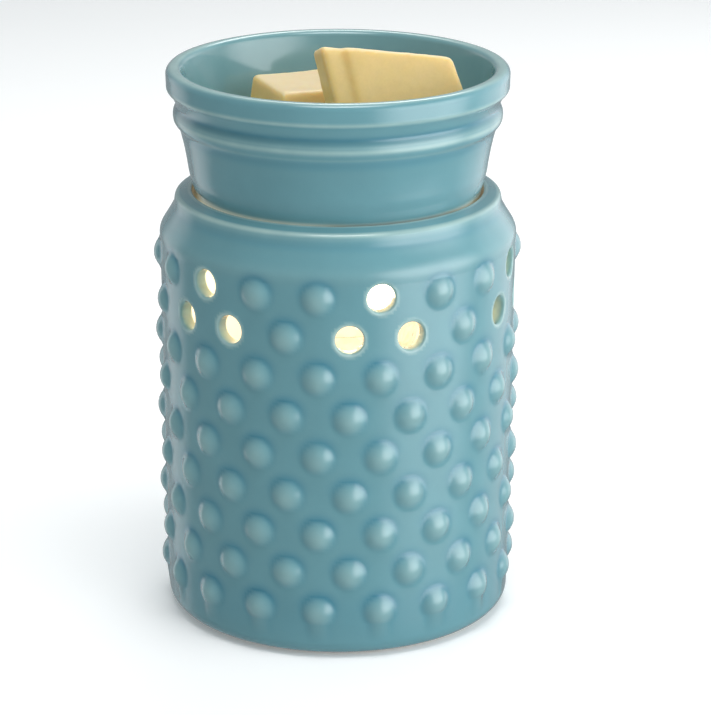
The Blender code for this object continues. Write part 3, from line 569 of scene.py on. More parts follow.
def drive(tree, shader, **outputs):
    """Link outputs to the shader; an underscore stands for a space in a socket's name."""
    for label, output in outputs.items():
        tree.links.new(output, shader.inputs[label.replace("_", " ")])


def gloss(tree, cloud, low, high):
    """Roughness that follows the clouds between two values."""
    return between(tree, cloud, 0.3, 0.7, low, high)


def raised(tree, height, distance, strength=1.0):
    return add(tree, "ShaderNodeBump", {
        "Height": height, "Strength": strength, "Distance": distance}).outputs[0]


def glaze_finish():
    """Gloss glaze: pooled in hollows, paler where it breaks over edges, bare clay, painted
    highlights and painted shadow on the lips and the dish's bead, and painted lamp light where
    marked.
    """
    if found := bpy.data.materials.get("teal_glaze"):
        return found
    look = bpy.context.scene.warmer_look
    material, tree, shader = new_material("teal_glaze", look.glaze, {
        "Coat Roughness": 0.07, "Coat IOR": 1.5, "Specular IOR Level": 0.18,
        "Emission Strength": look.glow,
    })
    grain = cloudy(tree, look.glaze, 90.0, 0.16, 2600.0, 0.05)
    clay = cloudy(tree, look.clay, 140.0, 0.12, 3800.0, 0.25)
    pooled_glaze_and_shade, thin_glaze_and_highlight, bare, glow = (attribute(tree, name) for name in ("pooled_glaze_and_shade", "thin_glaze_and_highlight", "bare", "glow"))
    uneven = between(tree, grain["Cloud"], 0.3, 0.7, 0.75, 1.1)
    colour = blend_of(tree, sums(tree, "MULTIPLY", pooled_glaze_and_shade, uneven), grain["Colour"], look.glaze_deep_and_shade)
    colour = blend_of(tree, sums(tree, "MULTIPLY", thin_glaze_and_highlight, uneven), colour, look.glaze_thin_and_highlight)
    colour = blend_of(tree, bare, colour, clay["Colour"])
    rough = sums(
        tree, "ADD", sums(tree, "MULTIPLY", bare, 0.55), gloss(tree, grain["Cloud"], 0.20, 0.27))
    # Painted lamp light: warm emission where the glow mark is set.
    warm = blend_of(tree, between(tree, glow, 0.35, 0.85), look.glow_dim, look.glow_bright)
    spot = object_place(tree)
    swell = sums(tree, "MULTIPLY", clouds(tree, spot, 55.0, 1.0), 6.0)
    peel = sums(tree, "MULTIPLY", clouds(tree, spot, 420.0, 1.0), 0.5)
    grit = sums(tree, "MULTIPLY", sums(tree, "MULTIPLY", clay["Height"], bare), 1.5)
    height = sums(tree, "ADD", sums(tree, "ADD", swell, peel), grit)
    drive(
        tree, shader, Base_Color=colour, Roughness=rough,
        Coat_Weight=sums(tree, "SUBTRACT", 1.0, bare),
        Emission_Color=blend_of(tree, glow, (0.0, 0.0, 0.0), warm),
        Normal=raised(tree, height, 0.00002),
    )
    return material


def wax_finish():
    """Cloudy wax with a painted highlight on its edges and top, painted warm lamp light low down,
    painted shade on its left sides and a faint painted glow.
    """
    if found := bpy.data.materials.get("scented_wax"):
        return found
    look = bpy.context.scene.warmer_look
    material, tree, shader = new_material("scented_wax", look.wax, {
        # Faint emission in the wax's own colour: painted glow for light passing through the wax.
        "Emission Strength": 0.20, "Subsurface Weight": 0.85,
        "Subsurface Radius": (1.0, 0.70, 0.30), "Subsurface Scale": 0.005,
        "Coat Weight": 0.15, "Coat Roughness": 0.3,
    })
    grain = cloudy(tree, look.wax, 130.0, 0.14, 1400.0, 0.08)
    colour = blend_of(tree, attribute(tree, "warm_light_and_shade"), grain["Colour"], look.wax_warm_light_and_shade)
    colour = blend_of(tree, attribute(tree, "pale"), colour, look.wax_painted_highlight)
    height = sums(tree, "ADD", clouds(tree, object_place(tree), 260.0, 3.0), sums(
        tree, "MULTIPLY", grain["Height"], 0.15))
    drive(
        tree, shader, Base_Color=colour, Emission_Color=colour,
        Roughness=gloss(tree, grain["Cloud"], 0.36, 0.52), Normal=raised(tree, height, 0.00006),
    )
    return material


def plain_finish(name, colour, roughness, clouds_by, grain_size, depth, coat=0.0):
    """A solid finish with cloudy colour, uneven gloss and a fine grain."""
    if found := bpy.data.materials.get(name):
        return found
    material, tree, shader = new_material(name, colour, {"Coat Weight": coat})
    grain = cloudy(tree, colour, 160.0, clouds_by, grain_size, clouds_by)
    drive(
        tree, shader, Base_Color=grain["Colour"], Normal=raised(tree, grain["Height"], depth),
        Roughness=gloss(tree, grain["Cloud"], 0.85 * roughness, 1.15 * roughness),
    )
    return material


def brushed_finish(name, colour, roughness):
    """Brushed or plated metal."""
    if found := bpy.data.materials.get(name):
        return found
    material, tree, shader = new_material(name, colour, {"Metallic": 1.0})
    lines = add(tree, "ShaderNodeGroup", {
        "Roughness": roughness, "Line Size": 2600.0}, node_tree=brushed_group()).outputs
    drive(
        tree, shader, Base_Color=cloudy(tree, colour, 240.0, 0.22, 3000.0, 0.06)["Colour"],
        Roughness=lines["Roughness"], Normal=raised(tree, lines["Height"], 0.00001),
    )
    return material


def steel_finish():
    return brushed_finish("plated_steel", (0.60, 0.60, 0.58), 0.34)


def brass_finish():
    return brushed_finish("brass", (0.72, 0.50, 0.22), 0.28)


def rubber_finish():
    return plain_finish("black_rubber", (0.028, 0.028, 0.030), 0.7, 0.25, 3200.0, 0.00006)


def cover_finish():
    return plain_finish("black_cover", (0.035, 0.035, 0.038), 0.5, 0.2, 4200.0, 0.00008)


def porcelain_finish():
    return plain_finish("white_porcelain", (0.82, 0.79, 0.72), 0.42, 0.08, 3000.0, 0.00004, 0.2)


def cells(tree, scale):
    """Small facets as height."""
    return add(tree, "ShaderNodeTexVoronoi", {
        "Vector": object_place(tree), "Scale": scale}).outputs["Distance"]


def reflector_finish():
    """Bright reflector coat, dimpled in small facets."""
    silver = (0.85, 0.84, 0.82)
    material, tree, shader = new_material("reflector_coat", silver, {"Metallic": 1.0})
    grain = cloudy(tree, silver, 300.0, 0.10, 2000.0, 0.04)
    drive(
        tree, shader, Base_Color=grain["Colour"], Roughness=gloss(tree, grain["Cloud"], 0.09, 0.17),
        Normal=raised(tree, cells(tree, 330.0), 0.0008, 0.6),
    )
    return material


def lamp_glass_finish(name, strength, roughness):
    """Clear lamp glass, lit from inside."""
    look = bpy.context.scene.warmer_look
    material, tree, shader = new_material(name, look.lamp_light, {
        "Transmission Weight": 0.85, "Emission Strength": strength})
    grain = cloudy(tree, (0.97, 0.95, 0.90), 200.0, 0.05, 1800.0, 0.02)
    warm = cloudy(tree, look.lamp_light, 120.0, 0.3, 900.0, 0.1)
    drive(
        tree, shader, Base_Color=grain["Colour"], Emission_Color=warm["Colour"],
        Roughness=gloss(tree, grain["Cloud"], 0.6 * roughness, 1.4 * roughness),
        Normal=raised(tree, cells(tree, 420.0), 0.0005, 0.5),
    )
    return material


def sleeving_finish():
    """Woven sleeving: two sets of fine threads that cross."""
    if found := bpy.data.materials.get("woven_sleeving"):
        return found
    material, tree, shader = new_material("woven_sleeving", (0.78, 0.74, 0.62), {"Roughness": 0.8})
    threads = []
    for turn in (0.9, -0.9):
        spun = add(tree, "ShaderNodeMapping", {
            "Vector": object_place(tree), "Rotation": (turn, 0.0, turn)}).outputs[0]
        threads.append(add(tree, "ShaderNodeTexWave", {
            "Vector": spun, "Scale": 900.0, "Distortion": 0.4}).outputs["Fac"])
    weave = sums(tree, "MAXIMUM", *threads)
    drive(
        tree, shader, Base_Color=blend_of(tree, weave, (0.50, 0.46, 0.36), (0.86, 0.82, 0.70)),
        Normal=raised(tree, weave, 0.0001),
    )
    return material


# ------------------------------------------------------------------ ceramic body

def wall_at(z):
    """Radius of the plain wall at a height."""
    sizes = bpy.context.scene.warmer_body
    share = (z - BODY_FOOT) / (BODY_TOP - 12.2 * MM - BODY_FOOT)
    return sizes.wall_radius - sizes.wall_taper * (1 - share)


def hole_steps():
    """(row, half step) of each light hole: one in the top row and two below it, in each group."""
    steps = 2 * STUD_COLUMNS
    places = set()
    for group in range(HOLE_GROUPS):
        middle = group * steps // HOLE_GROUPS
        places |= {(0, middle), (1, (middle - 1) % steps), (1, (middle + 1) % steps)}
    return places


def row_height(row):
    return BODY_TOP - STUD_DROP - row * STUD_PITCH


def stud_steps():
    """(row, half step) of each stud that no light hole or cord inlet replaces."""
    holes = hole_steps()
    clear = BUSH_HIGH.x + 4.5 * MM
    half = math.pi / STUD_COLUMNS
    places = []
    for row in range(STUD_ROWS):
        for column in range(STUD_COLUMNS):
            step = 2 * column + row % 2
            aside = wall_at(row_height(row)) * abs(math.pi - step * half)
            away = math.hypot(aside, row_height(row) - INLET_HEIGHT)
            if (row, step) not in holes and away > clear:
                places.append((row, step))
    return places


def offsets(points, places):
    """For each point: distance to the nearest place, and how far above that place it is."""
    half = math.pi / STUD_COLUMNS
    azimuth = np.arctan2(points[:, 0], -points[:, 1])
    radius = np.hypot(points[:, 0], points[:, 1])
    nearest = np.full(len(points), 1.0)
    above = np.zeros(len(points))
    for row, step in places:
        z = row_height(row)
        near = np.abs(points[:, 2] - z) < 10 * MM
        turn = (azimuth[near] - step * half + math.pi) % math.tau - math.pi
        rise = points[near, 2] - z
        away = np.hypot(turn * radius[near], rise)
        closer = away < nearest[near]
        index = np.flatnonzero(near)[closer]
        nearest[index] = away[closer]
        above[index] = rise[closer]
    return nearest, above


def radial(azimuth, z, radius):
    """A frame at a point of the wall whose local Z looks outwards."""
    out = Vector((math.sin(azimuth), -math.cos(azimuth), 0.0))
    turn = out.to_track_quat("Z", "Y").to_matrix().to_4x4()
    return Matrix.Translation(out * radius + Vector((0, 0, z))) @ turn


def body_outline():
    """The body's closed outline: the neck's bore, the wall, the foot and back inside."""
    top = BODY_TOP
    lip = rounded([
        (NECK_BORE * MM, top - LEDGE_DROP * MM, 0, 1), (NECK_BORE * MM, top, 0.8 * MM, 5),
        (48.15 * MM, top - 1.75 * MM, 1.5 * MM, 7), (48.50 * MM, top - 3.9 * MM, 0, 1),
    ])[:-1]
    shoulder = flowing(under(top, SHOULDER_LINE), 0.6 * MM)
    pitch = STUD_PITCH / ROWS_PER_PITCH
    wall = []
    z = row_height(0) + 4 * pitch
    low = BODY_FOOT + (FOOT_ROUNDING + 0.3) * MM
    while z > low:
        wall.append((wall_at(z), z))
        z -= pitch
    foot_radius = wall_at(BODY_FOOT)
    recess = COVER_HIGH.x + 0.6 * MM
    foot = rounded([
        (wall_at(low), low, 0, 1), (foot_radius, BODY_FOOT, FOOT_ROUNDING * MM, 12),
        (recess, BODY_FOOT, 0, 1),
    ])[:-1]
    inner_foot = foot_radius - WALL * MM
    inner_top = bpy.context.scene.warmer_body.wall_radius - WALL * MM
    ledge = top - LEDGE_DROP * MM
    inside = rounded([
        (*foot[-1], 0, 1), (recess, BODY_FOOT, 0.5 * MM, 3), (recess, FLOOR_BOTTOM, 0.3 * MM, 2),
        (RING_RADIUS, FLOOR_BOTTOM, 0.5 * MM, 2), (RING_RADIUS, FLOOR_TOP, 0.5 * MM, 2),
        (inner_foot, FLOOR_TOP, 3.0 * MM, 4), (inner_top, top - 14.9 * MM, 5.0 * MM, 5),
        (LEDGE_BORE * MM + 5.5 * MM, ledge - LEDGE_SHEET * MM, 2.0 * MM, 4),
        (LEDGE_BORE * MM, ledge - LEDGE_SHEET * MM, 0.4 * MM, 2),
        (LEDGE_BORE * MM, ledge, 0.4 * MM, 2), (NECK_BORE * MM, ledge, 0, 1),
    ])[1:-1]
    return [*spaced(lip, 0.8 * MM), *shoulder, *wall, *foot, *spaced(inside, 5.0 * MM)]


def swell_studs(points):
    """Push the wall's points outwards where a stud is."""
    sizes = bpy.context.scene.warmer_body
    away, _ = offsets(points, stud_steps())
    share = np.clip(away / sizes.stud_radius, 0.0, 1.0)
    height = sizes.stud_height * (1 - share ** 2.3) ** 1.35
    radius = np.hypot(points[:, 0], points[:, 1])
    outside = radius > sizes.wall_radius - 3.2 * MM
    grown = np.where(outside, (radius + height) / radius, 1.0)
    points[:, 0] *= grown
    points[:, 1] *= grown
    return points


def trumpet(radius, rounding, depth, reach):
    """Outline of a hole cutter: straight, with both of its mouths rounded outwards."""
    mouth = []
    for step in range(6):
        angle = 0.5 * math.pi * step / 5
        mouth.append((
            radius + rounding * (1 - math.cos(angle)), rounding * (math.sin(angle) - 1),
        ))
    inner = [(r, -depth - z) for r, z in mouth]
    outer_end = radius + rounding
    return [
        (0.0, reach), (outer_end + 0.2 * MM, reach), (outer_end + 0.05 * MM, 0.05 * MM),
        *reversed(mouth), *inner, (outer_end, -depth - reach), (0.0, -depth - reach),
    ]


def hole_cutters():
    sizes = bpy.context.scene.warmer_body
    half = math.pi / STUD_COLUMNS
    shapes = []
    for row, step in sorted(hole_steps()):
        z = row_height(row)
        shape = revolve(trumpet(
            sizes.hole_radius, sizes.hole_rounding, WALL * MM, 5.0 * MM), 40)
        shapes.append(moved(shape, radial(step * half, z, wall_at(z) - 0.05 * MM)))
    bore = BUSH_HIGH.x - 1.7 * MM + 0.3 * MM
    inlet = revolve(trumpet(bore, 0.5 * MM, WALL * MM, 5.0 * MM), 40)
    shapes.append(moved(inlet, radial(math.pi, INLET_HEIGHT, wall_at(INLET_HEIGHT) - 0.05 * MM)))
    whole = joined(shapes)
    bmesh.ops.recalc_face_normals(whole, faces=whole.faces)
    return mesh_of("hole_cutters", whole)


def mark_body(mesh):
    """Mark where the body's glaze pools or thins, with a painted highlight line on the neck's lip,
    where the clay is bare, and where painted lamp light glows on the chamber's wall, the gap round
    the dish and the light holes.
    """
    sizes = bpy.context.scene.warmer_body
    points = points_of(mesh)
    radius = np.hypot(points[:, 0], points[:, 1])
    z = points[:, 2]
    top = BODY_TOP
    wall = np.array([wall_at(min(height, top - 12.2 * MM)) for height in z])
    shoulder = np.interp(top - z, [drop * MM for _, drop in SHOULDER_LINE],
                         [r * MM for r, _ in SHOULDER_LINE])
    outer = np.where(top - z < 15.4 * MM, shoulder, wall)
    foot = np.clip((BODY_FOOT + FOOT_ROUNDING * MM - z) / (FOOT_ROUNDING * MM), 0.0, 1.0)
    outer = outer - FOOT_ROUNDING * MM * (1 - np.sqrt(np.clip(1 - foot ** 2, 0.0, 1.0)))
    depth = outer - radius
    away, above = offsets(points, stud_steps())
    hole_away, hole_above = offsets(points, hole_steps())
    share = np.clip(away / sizes.stud_radius, 0.0, 2.0)
    crown = np.clip(1 - share ** 2, 0.0, 1.0)
    ring = bump_at(share, 1.02, 0.16)
    over = np.clip(above / sizes.stud_radius, -1.0, 1.0)
    pooled_glaze_and_shade = 0.55 * ring * (0.55 + 0.45 * over)
    pooled_glaze_and_shade += 0.35 * bump_at(share, 1.12, 0.3) * np.clip(over, 0, 1)
    pooled_glaze_and_shade += 0.25 * bump_at(top - z, 5.2 * MM, 1.2 * MM) + 0.18 * bump_at(z, 13 * MM, 9 * MM)
    thin_glaze_and_highlight = 0.42 * crown ** 1.5 * (1 - 0.25 * over)
    rim = (top - z) * 1000
    lip_out = (radius > 47.2 * MM) & (z > top - 3.4 * MM)
    lip_in = (radius < 44.2 * MM) & (z > top - 1.2 * MM)
    # The pale line round the outside of the neck's lip is the glaze thinning over the edge and also
    # a painted highlight where the lip's curve catches the light.
    thin_glaze_and_highlight = np.maximum(thin_glaze_and_highlight, np.where(lip_out, 0.9 * bump_at(rim, 1.8, 0.7), 0.0))
    thin_glaze_and_highlight = np.maximum(thin_glaze_and_highlight, np.where(lip_in, 0.7 * bump_at(rim, 0.25, 0.5), 0.0))
    thin_glaze_and_highlight = np.maximum(thin_glaze_and_highlight, 0.12 * bump_at(rim, 12.6, 2.2))
    edge = bump_at(hole_away, sizes.hole_radius + 0.55 * MM, 0.50 * MM) * (depth < 1.4 * MM)
    thin_glaze_and_highlight = np.maximum(thin_glaze_and_highlight, 0.85 * edge)
    inside_wall = ramp(depth, 3.9 * MM, 4.3 * MM) * (z < top - 7.0 * MM)
    under_foot = 1 - ramp(z, BODY_FOOT + 0.03 * MM, BODY_FOOT + 0.2 * MM)
    recess = (radius < COVER_HIGH.x + 1.2 * MM) & (z < FLOOR_TOP + 2 * MM)
    ledge = (radius < NECK_BORE * MM - 0.3 * MM) & (z > top - 9.0 * MM)
    bare = np.maximum.reduce([inside_wall, under_foot, recess * 1.0, ledge * 1.0])
    mark(mesh, "pooled_glaze_and_shade", pooled_glaze_and_shade)
    mark(mesh, "thin_glaze_and_highlight", thin_glaze_and_highlight)
    mark(mesh, "bare", bare)
    # Painted lamp light, as emission: on the chamber's inner wall, brighter higher up; a bright
    # line in the gap round the dish whose brightness changes round the neck; and on the light
    # holes' walls, stronger on their lower halves.
    chamber = inside_wall * (z > FLOOR_TOP + 1.0 * MM)
    fade = 0.55 + 0.45 * ramp(z, 40 * MM, 90 * MM)
    azimuth = np.degrees(np.arctan2(points[:, 0], -points[:, 1]))
    gap_side = ramp(azimuth, -100, -80) * (1 - ramp(azimuth, -24, -6))
    gap_side = 0.15 + 0.85 * gap_side + 0.65 * bump_at(azimuth, 47.0, 12.0)
    gap = (abs(radius - NECK_BORE * MM) < 0.42 * MM) * (z > top - 3.6 * MM) * gap_side
    in_hole = (hole_away < sizes.hole_radius + 0.5 * MM) * ramp(depth, 1.4 * MM, 4.2 * MM)
    lit = in_hole * (0.22 + 0.26 * ramp(-hole_above, 0.0, sizes.hole_radius))
    mark(mesh, "glow", np.maximum.reduce([chamber * fade, gap, lit]))


class WARMER_OT_body(bpy.types.Operator):
    """Throw the studded body, pierce its light holes and mark its glaze"""

    bl_idname = "warmer.body"
    bl_label = "Ceramic body"

    def execute(self, context):
        shape = revolve(body_outline(), context.scene.warmer_body.turn_steps, closed=True)
        plain = mesh_of("plain_body", shape)
        points = swell_studs(points_of(plain))
        plain.vertices.foreach_set("co", points.astype(np.float32).ravel())
        mesh = smoothed(settled(plain, cut_by(hole_cutters())), 42)
        clear_spares()
        mark_body(mesh)
        place("ceramic_body_glazed", mesh, glaze_finish(), "ceramic_body")
        return {"FINISHED"}


class WARMER_OT_grommet(bpy.types.Operator):
    """Fit the rubber bush of the cord inlet"""

    bl_idname = "warmer.grommet"
    bl_label = "Cord bush"

    def execute(self, context):
        lip = BUSH_HIGH.x
        neck = lip - 1.7 * MM
        bore = neck - 1.3 * MM
        front, back = BUSH_LOW.y, BUSH_HIGH.y
        flange = 1.5 * MM
        line = rounded([
            (bore, 0.5 * (front + back), 0, 1), (bore, back, 0.6 * MM, 5),
            (lip - 0.5 * MM, back, 0.8 * MM, 5), (lip, back - flange, 0.15 * MM, 2),
            (neck, back - flange, 0.15 * MM, 2), (neck, front + flange, 0.15 * MM, 2),
            (lip, front + flange, 0.15 * MM, 2), (lip, front, 0.6 * MM, 4),
            (bore, front, 0.5 * MM, 4), (bore, 0.5 * (front + back) - 0.1 * MM, 0, 1),
        ])
        shape = revolve(line, 64, closed=True)
        turn = Matrix.Translation((0.0, 0.0, INLET_HEIGHT)) @ Matrix.Rotation(-math.pi / 2, 4, "X")
        moved(shape, turn)
        place("cord_bush", mesh_of("cord_bush", shape), rubber_finish(), "cord_grommet")
        return {"FINISHED"}


# ------------------------------------------------------------------ dish and wax

def dish_outline():
    """The dish's outline: the bowl's middle, the lip, then the underside's middle."""
    sizes = bpy.context.scene.warmer_dish
    top = DISH_TOP
    floor = top - sizes.bowl_depth
    inner_top = LIP_RADIUS - sizes.lip_width
    bowl_wall = inner_top - (top - floor) * 0.2104
    bowl = rounded([
        (0.0, floor, 0, 1), (bowl_wall, floor, sizes.bowl_rounding, 12),
        (inner_top, top, 2.0 * MM, 8), (LIP_RADIUS + 0.05 * MM, top, 2.1 * MM, 8),
        (50.34 * MM, top - 4.6 * MM, 0, 1),
    ])[:-1]
    outside = flowing(under(top, DISH_LINE), 0.45 * MM)
    step = BODY_TOP - LEDGE_DROP * MM + 0.3 * MM
    spigot = (LEDGE_BORE - 0.6) * MM
    foot = rounded([
        (*outside[-1], 0, 1), (42.2 * MM, step, 0.6 * MM, 4), (spigot, step, 0.3 * MM, 2),
        (spigot, DISH_BOTTOM, 1.2 * MM, 5),
        (spigot - sizes.skirt_thickness, DISH_BOTTOM, 1.2 * MM, 5),
        (spigot - sizes.skirt_thickness, floor - sizes.floor_thickness, 2.0 * MM, 5),
        (0.0, floor - sizes.floor_thickness, 0, 1),
    ])[1:]
    return [*spaced(bowl, 2.5 * MM), *outside, *spaced(foot, 3.0 * MM)]


def mark_dish(mesh):
    points = points_of(mesh)
    radius = np.hypot(points[:, 0], points[:, 1]) * 1000
    drop = (DISH_TOP - points[:, 2]) * 1000
    outside = radius > np.interp(drop, [0, 3, 20, 36], [48.3, 48.2, 43.5, 40.0])
    # Paler bands on the dish's outside: painted highlights along the lip's lower edge, over the
    # bead and along the bead's lower edge, in the thin-glaze colour. The band at the rim's top edge
    # is the glaze breaking over it and also a painted highlight.
    thin_glaze_and_highlight = np.where(outside, 0.75 * bump_at(drop, 6.1, 0.55), 0.0)
    thin_glaze_and_highlight = np.maximum(thin_glaze_and_highlight, np.where(outside, 0.75 * bump_at(drop, 14.2, 0.8), 0.0))
    thin_glaze_and_highlight = np.maximum(thin_glaze_and_highlight, np.where(outside, 0.30 * bump_at(drop, 12.9, 0.4), 0.0))
    thin_glaze_and_highlight = np.maximum(thin_glaze_and_highlight, 0.85 * bump_at(drop, 0.0, 0.45))
    thin_glaze_and_highlight = np.maximum(thin_glaze_and_highlight, np.where(outside, 0.25 * bump_at(drop, 16.8, 0.5), 0.0))
    # Darker bands on the dish's outside: painted shadow in the groove under the lip and painted
    # shade under the bead, in the pooled-glaze colour.
    pooled_glaze_and_shade = np.where(outside, 0.75 * bump_at(drop, 10.9, 0.9) + 0.35 * bump_at(drop, 18.5, 1.6), 0.0)
    pooled_glaze_and_shade += np.where(~outside, 0.10, 0.0)
    thin_glaze_and_highlight = np.maximum(thin_glaze_and_highlight, np.where(~outside, 0.22, 0.0))
    mark(mesh, "pooled_glaze_and_shade", pooled_glaze_and_shade)
    mark(mesh, "thin_glaze_and_highlight", thin_glaze_and_highlight)
    under_dish = (drop > 30.0) & (radius < 42.3)
    mark(mesh, "bare", (under_dish | (drop > 39.0)) * 1.0)
    # Painted lamp light, as emission, on the middle of the dish's underside.
    mark(mesh, "glow", (under_dish & (radius < 33.2)) * 0.25)


class WARMER_OT_dish(bpy.types.Operator):
    """Throw the lift-out dish and mark its glaze"""

    bl_idname = "warmer.dish"
    bl_label = "Wax dish"

    def execute(self, context):
        shape = revolve(dish_outline(), context.scene.warmer_dish.turn_steps)
        mesh = mesh_of("wax_dish_glazed", shape, sharp=50)
        mark_dish(mesh)
        place("wax_dish_glazed", mesh, glaze_finish(), "wax_dish")
        return {"FINISHED"}


def left_melt_corners():
    """Corners of the melt that stands on its large end, bottom ring first."""
    low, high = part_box("wax_melt_left")
    middle = 0.5 * (low + high)
    turn = Matrix.Rotation(math.radians(8), 3, "Z")
    corners = []
    for z, size in ((low.z, 30.8 * MM), (high.z, 27.4 * MM)):
        for x, y in ((-1, -1), (1, -1), (1, 1), (-1, 1)):
            spot = turn @ Vector((0.5 * size * x, 0.5 * size * y, 0.0))
            corners.append(Vector((middle.x, middle.y, z)) + spot)
    return corners


LEANING_LENGTH = 32.6 * MM


def leaning_corners(start, length, lowered, inset):
    """Corners of a block along the leaning melt's length, lower ring first."""
    lean = Matrix.Rotation(math.radians(-18), 3, "X")
    turn = Matrix.Rotation(math.radians(-1.1), 3, "Z")
    bowl_floor = DISH_TOP - bpy.context.scene.warmer_dish.bowl_depth
    corner = Vector((-2.3 * MM, -15.1 * MM, bowl_floor + 37.4 * MM))
    corners = []
    for level in (1, 0):
        for end, side in ((0, 0), (1, 0), (1, 1), (0, 1)):
            along = start + end * length
            share = min(max(along / LEANING_LENGTH, 0.0), 1.0)
            height, depth = (a + (b - a) * share for a, b in ((34.0, 21.0), (15.5, 13.0)))
            slant = math.radians(10.0 + 5.0 * share)
            down = level * (height * MM - 2 * lowered)
            fall = along * math.tan(math.radians(8)) + lowered
            spot = Vector((
                along + down * math.tan(slant), inset + side * (depth * MM - 2 * inset),
                -down - fall,
            ))
            corners.append(corner + turn @ lean @ spot)
    return corners


def waxy(blocks, rounding, size, seed, sink_axis, sink):
    """Cast wax from blocks of eight corners: rounded, slightly uneven and sunk on one side."""
    shapes = []
    for corners in blocks:
        shape = bmesh.new()
        verts = [shape.verts.new(corner) for corner in corners]
        for ring in ((3, 2, 1, 0), (4, 5, 6, 7), (0, 1, 5, 4), (1, 2, 6, 5), (2, 3, 7, 6),
                     (3, 0, 4, 7)):
            shape.faces.new([verts[index] for index in ring])
        bmesh.ops.bevel(
            shape, geom=list(shape.edges), offset=rounding, segments=4, profile=0.5,
            affect="EDGES", material=-1,
        )
        bmesh.ops.recalc_face_normals(shape, faces=shape.faces)
        shapes.append(shape)

    def even(helper):
        modifier = helper.modifiers.new("even", "REMESH")
        modifier.mode = "VOXEL"
        modifier.voxel_size = size
    mesh = settled(mesh_of("melt", joined(shapes)), even)
    shape = bmesh.new()
    shape.from_mesh(mesh)
    for _ in range(4):
        bmesh.ops.smooth_vert(
            shape, verts=shape.verts, factor=0.5, use_axis_x=True, use_axis_y=True, use_axis_z=True,
        )
    shape.normal_update()
    middle = sum(blocks[0], Vector()) / 8
    reach = max((corner - middle).length for corner in blocks[0])
    for vert in shape.verts:
        offset = Vector((seed, 0.0, 0.0))
        broad = noise.noise(vert.co * 95 + offset) * 0.20 * MM
        fine = noise.noise(vert.co * 420 + offset) * 0.05 * MM
        facing = max(0.0, vert.normal.dot(sink_axis)) ** 6
        aside = (vert.co - middle) - (vert.co - middle).dot(sink_axis) * sink_axis
        hollow = max(0.0, 1 - (aside.length / (0.62 * reach)) ** 2)
        vert.co += vert.normal * (broad + fine - 0.12 * MM) - sink_axis * (sink * facing * hollow)
    return shape


def mark_wax(mesh, low_side, edge_highlight=0.9):
    """Mark a painted highlight on the edges and top, painted warm lamp light low down and painted
    shade on the left-facing sides.
    """
    points = points_of(mesh)
    normals = np.empty(len(mesh.vertices) * 3, np.float32)
    mesh.vertices.foreach_get("normal", normals)
    normals = normals.reshape(-1, 3)
    low, high = points.min(0), points.max(0)
    height = (points[:, 2] - low[2]) / (high[2] - low[2])
    up = np.clip(normals[:, 2], 0, 1)
    left = np.clip(-normals[:, 0], 0, 1)
    # Painted warm lamp light, deeper lower down, and painted shade on faces that turn to the left.
    warm_light_and_shade = (1 - ramp(height, low_side - 0.35, low_side + 0.35)) * 0.75 + 0.35 * left * (1 - up)
    sharpness = 1 - np.abs(normals).max(1)
    # Painted highlight: paler on upward faces and on the rounded edges towards the top.
    pale = np.maximum(0.75 * ramp(up, 0.55, 0.9), edge_highlight * ramp(sharpness, 0.2, 0.35) * height)
    mark(mesh, "warm_light_and_shade", warm_light_and_shade * (1 - 0.6 * pale))
    mark(mesh, "pale", pale)


class WARMER_OT_melts(bpy.types.Operator):
    """Cast the two wax melts that lie in the dish"""

    bl_idname = "warmer.melts"
    bl_label = "Wax melts"

    def execute(self, context):
        sizes = context.scene.warmer_melts
        up = Vector((0.0, 0.0, 1.0))
        left = waxy([left_melt_corners()], sizes.edge_rounding, sizes.mesh_size, 3.1, up, 0.5 * MM)
        mesh = mesh_of("wax_melt_left_cast", left, sharp=180)
        mark_wax(mesh, 0.55)
        place("wax_melt_left_cast", mesh, wax_finish(), "wax_melt_left")
        corners = leaning_corners(0.0, LEANING_LENGTH, 0.0, 0.0)
        web = leaning_corners(-6.4 * MM, 9.4 * MM, 0.4 * MM, 1.0 * MM)
        front = (corners[0] - corners[3]).normalized()
        right = waxy([corners, web], sizes.edge_rounding, sizes.mesh_size, 8.7, front, 0.4 * MM)
        mesh = mesh_of("wax_melt_right_cast", right, sharp=180)
        mark_wax(mesh, 0.30)
        place("wax_melt_right_cast", mesh, wax_finish(), "wax_melt_right")
        return {"FINISHED"}


# ------------------------------------------------------------------ base and fixings

class WARMER_OT_base(bpy.types.Operator):
    """Fit the vented cover, the rubber feet, the gasket and the carrier plate"""

    bl_idname = "warmer.base"
    bl_label = "Base pieces"

    def execute(self, context):
        refined("base_cover", 0.25 * MM, "base_cover_moulded", cover_finish())
        refined("carrier_plate", 0.15 * MM, "carrier_plate_pressed", steel_finish())
        for number in range(1, 5):
            node = f"rubber_foot_{number}"
            _, crown, radius, middle = span(node)
            pad = COVER_LOW.z - 0.3 * MM
            stem = 1.9 * MM
            line = rounded([
                (0.0, crown, 0, 1), (stem, crown, 0.3 * MM, 3), (stem, pad, 0.2 * MM, 2),
                (radius, pad, 0.4 * MM, 4), (radius, 0.0, 0.5 * MM, 4),
                (0.55 * radius, 0.0, 0.2 * MM, 2), (0.50 * radius, 0.3 * MM, 0.2 * MM, 2),
                (0.0, 0.3 * MM, 0, 1),
            ])
            turned_piece(f"{node}_moulded", node, rubber_finish(), line, 48, at=middle)
        low, high, outer, _ = span("floor_gasket")
        inner = RING_RADIUS + 1.0 * MM
        ends = 0.5 * (low + high)
        corners = [(inner, high), (outer, high), (outer, low), (inner, low)]
        line = rounded([
            (inner, ends, 0, 1), *[(r, z, 0.3 * MM, 3) for r, z in corners],
            (inner, ends - 0.05 * MM, 0, 1),
        ])
        turned_piece("floor_gasket_ring", "floor_gasket", rubber_finish(), line, 128, closed=True)
        return {"FINISHED"}


